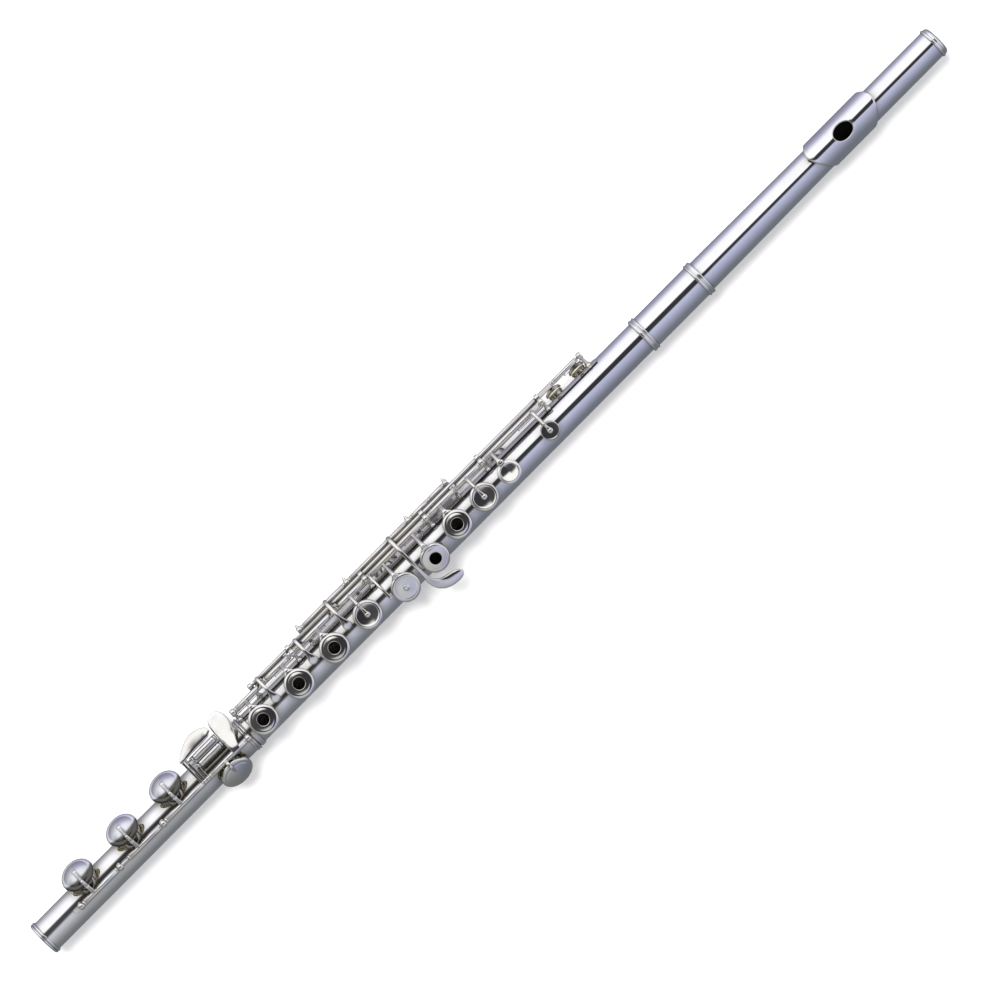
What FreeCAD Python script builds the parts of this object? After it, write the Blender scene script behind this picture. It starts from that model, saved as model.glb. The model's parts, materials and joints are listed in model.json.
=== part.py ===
import FreeCAD, Part
import math, os

# Concert flute with a B foot joint, open-hole cups and an offset G.
# Every separate piece is written to parts/NODE.step, in millimetres.
#
# Frame: the bore axis is X, and the origin is the centre of the open end of the foot joint.
# +X points out of the foot end, so the head joint is at negative X.
# +Z points out of the tone holes on top, -Y is the player's side, where the hinge rods run.
# Angles about the bore are in degrees from +Z towards -Y.

Vec = FreeCAD.Vector
AXIS_X = Vec(1, 0, 0)
AXIS_Z = Vec(0, 0, 1)
ORIGIN = Vec(0, 0, 0)

# ---------------------------------------------------------------- driving dimensions
# Tubes
BORE_R = 9.5                 # bore of body and foot
WALL = 0.4
TUBE_R = BORE_R + WALL       # outside of body and foot
SOCKET_R = TUBE_R + 0.05     # bore of the two sockets, a loose fit on the tenons
FOOT_SOCKET_OUT_R = 10.35    # outside of the foot joint's socket
RING_R = 10.7                # reinforcing ring at the lower end of the body
RIB_R = TUBE_R + 0.8         # outer face of the ribs
HEAD_SMALL_R = 8.55          # head bore at the stopper end

X_HEAD_END = -706.0          # crown end of the head tube
X_TAPER = -654.0             # head tube widens from here
X_LIP = -637.0               # middle of the lip plate outline
X_BLOW = -635.9              # centre of the embouchure hole
X_BARREL0 = -521.6           # upper end of the barrel
X_BARREL1 = -477.2           # lower ring of the barrel
X_BODY0 = -484.0             # upper end of the body tube, inside the barrel
X_FOOT0 = -163.2             # upper end of the foot joint's socket
X_TENON = -154.3             # lower end of the body tube, inside the foot socket
HEAD_PULL = 6.0              # how far the head is drawn out of full insertion
HEAD_TURN = 12.0             # roll of the head joint towards the player, degrees

# Tone hole rims and pads, as heights above the bore axis
RIM = 12.2                   # top of every rim
PAD_T = 2.1                  # pad thickness
PAD_Z = RIM + 0.04           # underside of a closed pad
CUP_Z = PAD_Z + PAD_T + 0.02 # underside of a cup's top
FINGER_R = 3.5               # hole in an open-hole cup

# Hinge tubes and steels
HINGE_R = 1.8
HINGE_BORE = 1.05
STEEL_R = 1.0
TRILL_R = 1.5
TRILL_BORE = 0.85
TRILL_STEEL_R = 0.8
SHAFT_R = 0.6                # thin part of the low B shaft
SLEEVE_R = 1.1               # low C sleeve, and the thick part of the low B shaft
SHAFT_BORE = SHAFT_R + 0.05
SLEEVE_BORE = SLEEVE_R + 0.05

# Hinge lines, (y, z)
MAIN = (-15.0, 7.2)
TRILL = (-17.9, 3.9)
BACK = (-20.0, -1.0)         # thumb keys, G sharp key, B flat side lever
FOOT = (0.2, 14.0)

OPEN_MAIN = 10.0             # lift of the open cups off their seats, degrees
OPEN_THUMB = -12.0
OPEN_FOOT = -12.0

# Tone holes: x, angle, radius
OFFSET_G = -18.5
BODY_HOLES = {
    "trill_ds": (-437.0, 105.0, 3.9),
    "trill_d": (-419.0, 105.0, 3.9),
    "c_sharp": (-402.1, 0.0, 3.5),
    "thumb": (-369.7, 125.0, 6.5),
    "b_flat": (-350.0, 0.0, 6.65),
    "a": (-328.5, 0.0, 6.8),
    "g_upper": (-306.5, OFFSET_G, 6.95),
    "g_lower": (-283.4, OFFSET_G, 7.1),
    "g_sharp": (-283.4, 130.0, 7.1),
    "f_sharp": (-257.5, 0.0, 7.3),
    "f": (-231.3, 0.0, 7.4),
    "e": (-203.3, 0.0, 7.5),
    "d": (-175.0, 0.0, 7.6),
}
FOOT_HOLES = {
    "d_sharp": (-143.5, -46.0, 7.2),
    "low_cs": (-109.3, 61.0, 7.9),
    "low_c": (-75.2, 61.0, 7.9),
    "low_b": (-39.9, 61.0, 7.9),
}
HOLES = {**BODY_HOLES, **FOOT_HOLES}

# Post stations along X
MAIN_POSTS = [-410.0, -362.5, -318.5, -270.5, -212.5]
MAIN_END_POST = -165.45
TRILL_POSTS = [-443.2, -182.4]
BACK_POSTS = [-340.1, -310.5, -261.7, -224.3]
FOOT_POSTS = [-161.6, -94.4, -60.2, -29.5]

os.makedirs("parts", exist_ok=True)


# ---------------------------------------------------------------- shape helpers
def cyl_x(x0, x1, radius, y=0.0, z=0.0):
    return Part.makeCylinder(radius, x1 - x0, Vec(x0, y, z), AXIS_X)


def tube_x(x0, x1, outer, inner, y=0.0, z=0.0):
    return cyl_x(x0, x1, outer, y, z).cut(cyl_x(x0 - 1, x1 + 1, inner, y, z))


def line_edge(start, end):
    return Part.LineSegment(start, end).toShape()


def wire(points, to3):
    """Closed wire: (a, b) is a line to that point, ((am, bm), (a, b)) an arc through am, bm."""
    edges = []
    last = points[0]
    for p in list(points[1:]) + [points[0]]:
        if isinstance(p[0], tuple):
            edges.append(Part.Arc(to3(*last), to3(*p[0]), to3(*p[1])).toShape())
            last = p[1]
        else:
            if to3(*p).distanceToPoint(to3(*last)) > 1e-6:
                edges.append(line_edge(to3(*last), to3(*p)))
            last = p
    return Part.Wire(edges)


def cap(r0, z0, height):
    """Arc entry from (r0, z0) to the axis at height, meeting the axis squarely."""
    rise = height - z0
    arc_r = (r0 * r0 + rise * rise) / (2.0 * abs(rise))
    sag = arc_r - math.sqrt(arc_r * arc_r - r0 * r0 / 4.0)
    return ((r0 / 2.0, height - math.copysign(sag, rise)), (0, height))


def rev_z(points):
    """Solid turned about Z from an (r, z) profile."""
    face = Part.Face(wire(points, lambda r, z: Vec(r, 0, z)))
    return face.revolve(ORIGIN, AXIS_Z, 360)


def rev_x(points, y=0.0, z=0.0):
    """Solid turned about a line along X from an (x, r) profile."""
    face = Part.Face(wire(points, lambda x, r: Vec(x, 0, r)))
    solid = face.revolve(ORIGIN, AXIS_X, 360)
    solid.translate(Vec(0, y, z))
    return solid


def place(shape, x, angle):
    """Moves a shape built with local +Z outward to station x and an angle about the bore."""
    moved = shape.copy()
    moved.rotate(ORIGIN, AXIS_X, angle)
    moved.translate(Vec(x, 0, 0))
    return moved


def local(line, angle):
    """A hinge line's (y, z) seen from a cup's own frame."""
    a = math.radians(angle)
    y, z = line
    return (y * math.cos(a) + z * math.sin(a), -y * math.sin(a) + z * math.cos(a))


def turn(shape, line, degrees):
    turned = shape.copy()
    turned.rotate(Vec(0, *line), AXIS_X, degrees)
    return turned


def smooth(points):
    curve = Part.BSplineCurve()
    curve.interpolate(points)
    return curve.toShape()


def strip(path, thickness, x0, x1):
    """Curved bar: (y, z) path with the thickness at each point, extruded from x0 to x1."""
    left, right = [], []
    for i, (y, z) in enumerate(path):
        before = path[max(i - 1, 0)]
        after = path[min(i + 1, len(path) - 1)]
        dy, dz = after[0] - before[0], after[1] - before[1]
        length = math.hypot(dy, dz)
        ny, nz = -dz / length, dy / length
        half = thickness[i] / 2.0
        left.append(Vec(x0, y + ny * half, z + nz * half))
        right.append(Vec(x0, y - ny * half, z - nz * half))
    right.reverse()
    edges = [smooth(left), line_edge(left[-1], right[0]),
             smooth(right), line_edge(right[-1], left[0])]
    return Part.Face(Part.Wire(edges)).extrude(Vec(x1 - x0, 0, 0))


def prism(points, z0, z1, curve=False):
    """Vertical prism over an (x, y) outline, straight-sided or splined."""
    pts = [Vec(p[0], p[1], z0) for p in points]
    if curve:
        spline = Part.BSplineCurve()
        spline.interpolate(pts, PeriodicFlag=True)
        outline = Part.Wire([spline.toShape()])
    else:
        outline = Part.makePolygon(pts + [pts[0]])
    return Part.Face(outline).extrude(Vec(0, 0, z1 - z0))


def sloped(points, ya, za, yb, zb, thickness, curve=True):
    """Plate over an (x, y) outline, its top passing (ya, za) and (yb, zb)."""
    xs = [p[0] for p in points]
    ys = [p[1] for p in points]
    x0, x1 = min(xs) - 2, max(xs) + 2
    y0, y1 = min(ys) - 3, max(ys) + 3
    slope = (zb - za) / (yb - ya)
    z0 = za + slope * (y0 - ya)
    z1 = za + slope * (y1 - ya)
    section = [Vec(x0, y0, z0), Vec(x0, y1, z1), Vec(x0, y1, z1 - thickness),
               Vec(x0, y0, z0 - thickness), Vec(x0, y0, z0)]
    slab = Part.Face(Part.makePolygon(section)).extrude(Vec(x1 - x0, 0, 0))
    return prism(points, -30, 40, curve).common(slab)


def tapered(bar, ya, width_a, yb, width_b):
    """Narrows a bar lying along local Y from width_a at ya to width_b at yb."""
    outline = [(-width_a / 2, ya), (width_a / 2, ya), (width_b / 2, yb), (-width_b / 2, yb)]
    return bar.common(prism(outline, -30, 40))


def fuse(shapes):
    return shapes[0].multiFuse(shapes[1:])


def drill(shape, holes, extra_r, depth):
    """Cuts each tone hole, widened by extra_r, through a shape."""
    for x, angle, radius in holes:
        drill_bit = Part.makeCylinder(radius + extra_r, depth, Vec(0, 0, 1.0))
        shape = shape.cut(place(drill_bit, x, angle))
    return shape


def export(name, shapes):
    """Writes one node: a single solid, or a group of solids, leaving out slivers."""
    solids = [q for s in shapes for q in s.Solids if q.Volume > 0.02]
    node = solids[0] if len(solids) == 1 else Part.makeCompound(solids)
    node.exportStep("parts/" + name + ".step")


# ---------------------------------------------------------------- body, barrel and foot tubes
def chimney(x, angle, radius):
    """Drawn tone hole wall with a rolled rim."""
    wall_r = radius + 0.42
    ring = rev_z([(radius, 3.0), (wall_r, 3.0), (wall_r, RIM - 0.85),
                  ((radius + 0.78, RIM - 0.42), (wall_r, RIM)), (radius, RIM)])
    return place(ring, x, angle)


def with_holes(outer, bore, holes):
    tube = fuse([outer] + [chimney(*hole) for hole in holes]).cut(bore)
    return drill(tube, holes, 0.0, 12.0)


def barrel():
    """Socket for the head joint, closed by two turned rings."""
    x0, x1 = X_BARREL0, X_BARREL1
    return rev_x([
        (x0 - 1.9, SOCKET_R), (x0 - 1.9, 10.75), ((x0 - 1.3, 11.25), (x0 - 0.5, 11.3)),
        (x0 + 0.6, 10.95), (x0 + 1.3, 11.25), ((x0 + 1.9, 11.3), (x0 + 2.3, 10.8)),
        (x0 + 2.5, 10.4), (x1 - 2.4, 10.4), (x1 - 2.2, 10.8),
        ((x1 - 1.8, 11.3), (x1 - 1.2, 11.25)), (x1 - 0.4, 10.9), (x1 + 0.6, 11.3),
        ((x1 + 1.4, 11.2), (x1 + 1.9, 10.6)), (x1 + 2.0, TUBE_R),
        (X_BODY0, TUBE_R), (X_BODY0, SOCKET_R)])


def foot_profile():
    """Solid outside of the foot joint: socket, tube and a turned ring at the open end."""
    x0 = X_FOOT0
    return rev_x([
        (x0, 0), (x0, 10.7), ((x0 + 0.6, 11.2), (x0 + 1.3, 10.8)), (x0 + 1.7, 10.65),
        ((x0 + 2.4, 11.0), (x0 + 3.0, 10.5)), (x0 + 3.2, FOOT_SOCKET_OUT_R),
        (-153.2, FOOT_SOCKET_OUT_R), (-152.6, TUBE_R), (-3.4, TUBE_R), (-3.1, 10.3),
        ((-2.4, 10.85), (-1.7, 10.4)), (-1.5, 10.35), ((-0.9, 10.8), (-0.25, 10.3)),
        (0.0, 10.1), (0.0, 0)])


export("body_tube", [with_holes(cyl_x(X_BODY0, X_TENON, TUBE_R),
                                cyl_x(X_BODY0 - 1, X_TENON + 1, BORE_R),
                                BODY_HOLES.values())])
export("barrel", [barrel()])

# Reinforcing ring at the lower end of the body, above the foot joint
export("body_ring", [rev_x([
    (-166.85, TUBE_R), (-166.85, 10.3), ((-166.7, 10.6), (-166.35, RING_R)), (-164.2, RING_R),
    ((-163.85, 10.6), (-163.7, 10.3)), (-163.7, TUBE_R)])])

foot_outer = foot_profile()
foot_bore = fuse([cyl_x(-170, 1, BORE_R), cyl_x(-170, X_TENON + 0.4, SOCKET_R)])
export("foot_tube", [with_holes(foot_outer, foot_bore, FOOT_HOLES.values())])

# ---------------------------------------------------------------- head joint
BLOW_A, BLOW_B = 6.2, 5.3    # embouchure hole semi-axes along X and Y
UNDERCUT = 0.9               # growth of the embouchure oval at its lower end
RISER_WALL = 0.75
LIP_Y = -0.55                # lip plate section: centre, half width, top height
LIP_HALF_WIDTH = 10.85
LIP_TOP = 13.6
LIP_T = 0.95
X_STOPPER = X_LIP - 17.3     # stopper face

# Lip plate outline: x from X_LIP, y
LIP_OUTLINE = [
    (-24.6, -3.5), (-23.6, -8.0), (-19.6, -12.4), (-12.0, -14.0), (0.0, -14.4), (14.0, -14.0),
    (21.5, -12.2), (25.3, -8.0), (26.2, -3.0), (24.4, 2.0), (20.2, 8.0), (16.6, 12.5),
    (8.0, 15.0), (0.0, 15.4), (-8.0, 15.0), (-15.8, 12.5), (-19.4, 8.0), (-23.0, 2.0)]


def blow_oval(wall):
    """Oval post about the embouchure, wider at its lower end."""
    a, b = BLOW_A + wall, BLOW_B + wall
    low = Part.Ellipse(Vec(X_BLOW, 0, 4.0), a + UNDERCUT, b + UNDERCUT).toShape()
    high = Part.Ellipse(Vec(X_BLOW, 0, 16.0), a, b).toShape()
    return Part.makeLoft([Part.Wire([low]), Part.Wire([high])], True)


def lip_bar(inset, x0, x1):
    """Upright elliptic bar along X with the lip plate's section, shrunk by inset."""
    oval = Part.Ellipse(ORIGIN, LIP_TOP - inset, LIP_HALF_WIDTH - inset).toShape()
    bar = Part.Face(Part.Wire([oval])).extrude(Vec(0, 0, x1 - x0))
    return bar.transformGeometry(FreeCAD.Matrix(0, 0, 1, x0, 0, 1, 0, LIP_Y,
                                                1, 0, 0, 0, 0, 0, 0, 1))


def rolled(shape):
    """Turns a head joint piece about the bore by the head joint's setting."""
    return place(shape, 0, HEAD_TURN)


def head_tube(post):
    """Bore narrows towards the stopper; the lower end is the tenon in the barrel."""
    x_wide = X_BARREL0 - 3.0
    x_end = X_BODY0 - HEAD_PULL - 1.0
    tube = rev_x([
        (X_HEAD_END, HEAD_SMALL_R), (X_HEAD_END, HEAD_SMALL_R + WALL),
        (X_TAPER, HEAD_SMALL_R + WALL), (x_wide, TUBE_R), (x_end, TUBE_R),
        (x_end, BORE_R), (x_wide, BORE_R), (X_TAPER, HEAD_SMALL_R)])
    return tube.cut(post)


blow_hole = blow_oval(0.0)
riser_post = blow_oval(RISER_WALL)
lip_inside = lip_bar(LIP_T, X_LIP - 31, X_LIP + 31)
export("head_tube", [rolled(head_tube(riser_post))])

lip_prism = prism([(X_LIP + x, y) for x, y in LIP_OUTLINE], -4.0, 20.0, True)
lip_plate = lip_bar(0.0, X_LIP - 30, X_LIP + 30).cut(lip_inside).common(lip_prism)
export("lip_plate", [rolled(lip_plate.cut(blow_hole))])

# Riser: the chimney between head tube and lip plate
riser = riser_post.common(lip_inside).cut(blow_hole)
riser = riser.cut(cyl_x(X_LIP - 20, X_LIP + 20, 8.62))
export("embouchure_riser", [rolled(riser)])

# Crown: the turned cap that closes the head joint
export("crown", [rev_x([
    (-698.0, 2.06), (-698.0, 8.45), (-706.15, 8.45), (-706.15, 9.3),
    ((-706.9, 9.75), (-707.7, 9.45)), (-708.1, 9.2), ((-709.7, 8.7), (-710.6, 7.2)),
    (-710.75, 4.4), ((-710.9, 3.9), (-711.0, 3.3)), (-711.0, 0.0),
    (-709.2, 0.0), (-709.2, 2.06)])])

# Stopper: rod with a disc each side of the cork
x_cork0 = X_STOPPER - 12.6
x_cork1 = X_STOPPER - 0.9
export("stopper_rod", [rev_x([
    (-707.5, 0), (-707.5, 2.0), (X_STOPPER - 14.0, 2.0), (X_STOPPER - 14.0, 7.6),
    (x_cork0, 7.6), (x_cork0, 2.4), (x_cork1, 2.4), (x_cork1, 8.3),
    (X_STOPPER, 8.3), (X_STOPPER, 0)])])
export("stopper_cork", [rev_x([
    (x_cork0, 2.4), (x_cork0, 7.9), ((X_STOPPER - 12.3, 8.35), (X_STOPPER - 11.8, 8.5)),
    (X_STOPPER - 1.7, 8.5), ((X_STOPPER - 1.2, 8.35), (x_cork1, 7.9)), (x_cork1, 2.4)])])


# ---------------------------------------------------------------- ribs and posts
def sector(x0, x1, r0, r1, a0, a1):
    """Strap on the tube between radii r0, r1 and angles a0, a1."""
    def arc_points(radius, angles):
        rads = [math.radians(a) for a in angles]
        return [Vec(x0, -radius * math.sin(a), radius * math.cos(a)) for a in rads]

    middle = (a0 + a1) / 2.0
    inner = arc_points(r0, (a0, middle, a1))
    outer = arc_points(r1, (a1, middle, a0))
    edges = [Part.Arc(*inner).toShape(), line_edge(inner[2], outer[0]),
             Part.Arc(*outer).toShape(), line_edge(outer[2], inner[0])]
    return Part.Face(Part.Wire(edges)).extrude(Vec(x1 - x0, 0, 0))


def pillar(x, line, seat, ball, bore, tip=False):
    """Turned pillar standing out from the tube, with a ball that carries a hinge line."""
    rho = math.hypot(*line)
    angle = math.degrees(math.atan2(-line[0], line[1]))
    profile = [(0, seat - 1.2), (2.1, seat - 1.2), (2.1, seat + 0.25),
               ((1.75, seat + 0.7), (1.25, seat + 1.1)),
               ((0.95, (seat + rho) / 2.0), (1.2, rho - 1.6)), (1.2, rho), (0, rho)]
    post = fuse([rev_z(profile), Part.makeSphere(ball, Vec(0, 0, rho))])
    if tip:
        post = post.fuse(Part.makeCone(1.2, 0.35, 2.3, Vec(0, 0, rho + ball - 0.5)))
    # The ball is flattened across X; the foot below it keeps its full width
    flat = Part.makeBox(3.0, 14, 14, Vec(-1.5, -7, rho - 7))
    low = Part.makeBox(14, 14, rho - 2.0, Vec(-7, -7, 0))
    post = post.common(fuse([flat, low]))
    post = post.cut(Part.makeCylinder(bore, 20, Vec(-10, 0, rho), AXIS_X))
    return place(post, x, angle)


def base_cut(shape, radius):
    """Hollows the base of a post to sit on a tube."""
    return shape.cut(cyl_x(-480, 5, radius))


def main_post(x):
    """Main line pillar with an eye for the trill line."""
    bore = STEEL_R + 0.04
    x0, x1 = x - 1.2, x + 1.2
    middle = ((MAIN[0] + TRILL[0]) / 2, (MAIN[1] + TRILL[1]) / 2)
    eye = cyl_x(x0, x1, 2.35, *TRILL)
    neck = strip([MAIN, middle, TRILL], [2.6, 2.2, 2.6], x0, x1)
    post = fuse([pillar(x, MAIN, RIB_R, 2.5, bore), eye, neck])
    post = post.cut(cyl_x(x - 4, x + 4, TRILL_R + 0.05, *TRILL))
    post = post.cut(cyl_x(x - 4, x + 4, bore, *MAIN))
    return base_cut(post, RIB_R)


def foot_post(x, bore):
    seat = FOOT_SOCKET_OUT_R if x < -155 else RIB_R
    return base_cut(pillar(x, FOOT, seat, 2.3, bore), seat).cut(foot_outer)


# The body rib is cleared around every hole but the two offset G holes
rib_holes = [hole for hole in BODY_HOLES.values() if hole[1] != OFFSET_G]
export("body_rib", [drill(sector(-448.0, -167.4, TUBE_R, RIB_R, 57.0, 79.0),
                          rib_holes, 0.9, 14.0)])

# The foot rib is cut back to clear the socket and its step
foot_rib = sector(-157.0, -24.0, TUBE_R, RIB_R, -9.0, 7.0)
foot_rib = foot_rib.cut(cyl_x(-170, -153.1, FOOT_SOCKET_OUT_R))
foot_rib = foot_rib.cut(cyl_x(-170, -152.5, FOOT_SOCKET_OUT_R + 0.01))
export("foot_rib", [drill(foot_rib, FOOT_HOLES.values(), 0.9, 14.0)])

posts = [main_post(x) for x in MAIN_POSTS]
posts += [base_cut(pillar(x, TRILL, RIB_R, 2.2, TRILL_STEEL_R + 0.05), RIB_R)
          for x in TRILL_POSTS]
posts.append(base_cut(pillar(MAIN_END_POST, MAIN, RING_R, 2.4, STEEL_R + 0.04), RING_R))
export("body_posts", posts)
export("back_posts", [base_cut(pillar(x, BACK, TUBE_R, 2.35, STEEL_R, tip=True), TUBE_R)
                      for x in BACK_POSTS])
foot_post_bores = (SHAFT_BORE, SLEEVE_BORE, SLEEVE_BORE, SHAFT_BORE)
export("foot_posts", [foot_post(x, bore) for x, bore in zip(FOOT_POSTS, foot_post_bores)])


# ---------------------------------------------------------------- cups, pads and arms
def cup(kind, radius):
    """Key cup over a closed pad; kind is concave, ring (open hole), dome or boss."""
    base = PAD_Z
    inner = FINGER_R + 0.6 if kind == "ring" else 0
    profile = [(inner, CUP_Z), (radius - 0.5, CUP_Z), (radius - 0.5, base + 0.8),
               (radius, base + 0.8)]
    if kind == "concave":
        profile += [(radius, base + 2.9),
                    ((radius - 0.2, base + 3.25), (radius - 0.65, base + 3.35)),
                    (radius - 1.1, base + 3.15), cap(radius - 1.1, base + 3.15, base + 2.6)]
    elif kind == "ring":
        hole = FINGER_R
        profile += [(radius, base + 2.9),
                    ((radius - 0.2, base + 3.3), (radius - 0.7, base + 3.4)),
                    (radius - 1.2, base + 3.15),
                    (((radius + hole) / 2.0, base + 2.6), (hole + 1.35, base + 2.75)),
                    ((hole + 0.8, base + 3.05), (hole + 0.25, base + 3.0)),
                    ((hole + 0.05, base + 2.9), (hole, base + 2.7)),
                    (hole, base + 0.5), (inner, base + 0.5)]
    elif kind == "dome":
        profile += [(radius, base + 2.2),
                    ((radius - 0.12, base + 2.5), (radius - 0.45, base + 2.62)),
                    cap(radius - 0.45, base + 2.62, base + 3.5)]
    else:
        profile += [(radius, base + 2.6),
                    ((radius - 0.2, base + 3.0), (radius - 0.7, base + 3.1)),
                    ((radius * 0.5, base + 2.97), (1.5, base + 2.95)),
                    cap(1.5, base + 2.95, base + 3.65)]
    return rev_z(profile)


def pad(kind, cup_r):
    outer = cup_r - 0.55
    rim = [(outer - 0.5, PAD_Z), ((outer - 0.12, PAD_Z + 0.12), (outer, PAD_Z + 0.5)),
           (outer, PAD_Z + PAD_T)]
    if kind == "ring":
        inner = FINGER_R + 0.65
        return rev_z([(inner, PAD_Z + 0.25), ((inner + 0.08, PAD_Z + 0.07), (inner + 0.3, PAD_Z))]
                     + rim + [(inner, PAD_Z + PAD_T)])
    return rev_z([(0, PAD_Z)] + rim + [(0, PAD_Z + PAD_T)])


def nib(z):
    """Rounded end of a pointed arm at the centre of its cup."""
    return rev_z([(0, z), (1.55, z), (1.55, z + 0.75), cap(1.55, z + 0.75, z + 1.5)])


def pointed_arm(hinge, cup_r, hinge_width=3.2, tip_width=1.5, top=3.45):
    """Bar from a hinge at (y, z) over the rim of a cup to its centre."""
    thick = 1.35
    hy, hz = hinge
    side = math.copysign(1.0, hy)
    if hz < PAD_Z + 1.0:
        path = [hinge,
                (side * max(abs(hy) - 1.1, cup_r + 1.6), (hz + PAD_Z + 2.4) / 2.0 + 0.6),
                (side * (cup_r + 0.2), PAD_Z + top - 0.15),
                (side * (cup_r - 1.6), PAD_Z + top + 0.2),
                (side * cup_r * 0.4, PAD_Z + top - 0.1), (0, PAD_Z + top - 0.25)]
        thickness = [2.4, thick + 0.45, thick + 0.25, thick, thick, thick]
    else:
        path = [hinge, (hy * 0.7, hz - 0.1 * (hz - PAD_Z)), (hy * 0.4, PAD_Z + top + 0.25),
                (0, PAD_Z + top - 0.1)]
        thickness = [2.2, thick + 0.2, thick, thick]
    far = side * (max(abs(p[0]) for p in path) + 1.4)
    return tapered(strip(path, thickness, -3, 3), far, hinge_width, 0.0, tip_width)


def side_arm(hinge, cup_r, hinge_width=3.4, tip_width=5.6):
    """Short arm from a hinge at (y, z) to the flank of a cup; it broadens at the cup."""
    hy, hz = hinge
    side = math.copysign(1.0, hy)
    tip_y = side * (cup_r - 0.45)
    path = [hinge, (side * (abs(hy) - 1.5), hz + 2.7), (side * (cup_r + 1.9), PAD_Z + 1.6),
            (tip_y, PAD_Z + 2.35)]
    return tapered(strip(path, [2.4, 1.9, 1.7, 1.5], -4, 4), hy, hinge_width, tip_y, tip_width)


def lug(x0, x1, degrees):
    """Clutch lug standing out from a main line hinge tube."""
    width = 1.1
    block = Part.makeBox(x1 - x0, width, 2.9, Vec(x0, -width / 2, 0))
    block.rotate(ORIGIN, AXIS_X, degrees)
    block.translate(Vec(0, *MAIN))
    return block


def clutch(tube_x0, x0, x1, degrees):
    """Lug at a tube's upper end, reaching on to x0 clear of the neighbouring tube."""
    return [lug(tube_x0, x1, degrees),
            lug(x0, x1, degrees).cut(cyl_x(x0 - 1, tube_x0, 2.0, *MAIN))]


CATCH_LENGTH = {MAIN: 3.1, TRILL: 2.6, BACK: 3.0, FOOT: 2.9}
KEYS = {}


class Key:
    """A key on a hinge line. Parts in closed, pads and cuts are built with the key shut
    and swung open on finishing; parts in fixed stay as built."""

    def __init__(self, name, line, tubes, outer=HINGE_R, bore=HINGE_BORE, opening=0.0):
        self.name = name
        self.line = line
        self.tubes = tubes
        self.outer = outer
        self.bore = bore
        self.opening = opening
        self.closed = []
        self.fixed = []
        self.pads = []
        self.cuts = []
        self.rings = []
        KEYS[name] = self

    def add_cup(self, hole, kind, radius, arm="pointed", **arm_sizes):
        x, angle, _ = HOLES[hole]
        self.closed.append(place(cup(kind, radius), x, angle))
        self.pads.append(place(pad(kind, radius), x, angle))
        recess = Part.makeCylinder(radius - 0.53, CUP_Z - PAD_Z + 2.99, Vec(0, 0, PAD_Z - 3.0))
        self.cuts.append(place(recess, x, angle))
        if kind == "ring":
            # The recess removes the finger hole's collar, so it is put back afterwards
            opening = Part.makeCylinder(FINGER_R, 8.0, Vec(0, 0, PAD_Z - 2.0))
            self.cuts.append(place(opening, x, angle))
            collar = rev_z([(FINGER_R, PAD_Z + 0.5), (FINGER_R + 0.6, PAD_Z + 0.5),
                            (FINGER_R + 0.6, CUP_Z), (FINGER_R, CUP_Z)])
            self.rings.append(place(collar, x, angle))
        hinge = local(self.line, angle)
        if arm == "pointed":
            self.closed.append(place(pointed_arm(hinge, radius, **arm_sizes), x, angle))
            self.closed.append(place(nib(PAD_Z + 2.75), x, angle))
        elif arm == "side":
            self.closed.append(place(side_arm(hinge, radius, **arm_sizes), x, angle))

    def add_catch(self, x):
        """Catch for a needle spring, standing inwards from the hinge tube."""
        self.catch_x = x
        y, z = self.line
        dist = math.hypot(y, z)
        self.fixed.append(Part.makeCylinder(0.45, CATCH_LENGTH[self.line], Vec(x, y, z),
                                            Vec(0, -y / dist, -z / dist)))

    def swing(self, shapes):
        return [turn(s, self.line, self.opening) for s in shapes]

    def finish(self, core=None, core_bore=None):
        """Builds and writes the key. With a core (steel, shaft or sleeve) the tubes are
        solid and one piece with it; otherwise they are bored through."""
        if core:
            parts = [cyl_x(a, b, self.outer, *self.line) for a, b in self.tubes] + [core]
        else:
            parts = [tube_x(a, b, self.outer, 0.3, *self.line) for a, b in self.tubes]
        body = fuse(parts + self.swing(self.closed) + self.fixed)
        if not core:
            for a, b in self.tubes:
                body = body.cut(cyl_x(a - 2, b + 2, self.bore, *self.line))
        if core_bore:
            body = body.cut(core_bore)
        for cutter in self.swing(self.cuts):
            body = body.cut(cutter)
        if self.rings:
            body = body.multiFuse(self.swing(self.rings))
        export(self.name, [max(body.Solids, key=lambda s: s.Volume)])
        if self.pads:
            suffix = "_pads" if len(self.pads) > 1 else "_pad"
            export(self.name + suffix, self.swing(self.pads))


# ---------------------------------------------------------------- main line keys
# C key: small cup and a finger dish at the thumb hole's station
key = Key("c_key", MAIN, [(-408.4, -364.1)], opening=OPEN_MAIN)
key.add_cup("c_sharp", "concave", 5.6, hinge_width=2.8, tip_width=1.4)
x_dish = HOLES["thumb"][0]
dish_r = 6.8
dish = rev_z([(0, RIM + 0.9), (4.6, RIM + 0.9), ((6.2, RIM + 1.2), (dish_r, RIM + 2.1)),
              (6.75, RIM + 2.55), ((6.5, RIM + 2.75), (6.15, RIM + 2.65)),
              cap(6.15, RIM + 2.65, RIM + 1.7)])
key.closed += [place(dish, x_dish, 0), place(side_arm(MAIN, dish_r, 3.0, 3.6), x_dish, 0),
               place(Part.makeCylinder(2.2, 0.8, Vec(0, 0, RIM + 0.3)), x_dish, 0)]
key.add_catch(-390.0)
key.finish()

key = Key("bb_key", MAIN, [(-360.9, -341.3)], opening=OPEN_MAIN)
key.add_cup("b_flat", "concave", 8.3)
key.add_catch(-349.0)
key.fixed.append(lug(-343.0, -341.3, 50.0))
key.finish()

# G key: open-hole upper cup, plain lower cup
key = Key("g_key", MAIN, [(-316.9, -272.1)], opening=OPEN_MAIN)
key.add_cup("g_upper", "ring", 8.5, arm="side")
key.add_cup("g_lower", "boss", 8.5, arm="side", tip_width=4.0)
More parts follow.
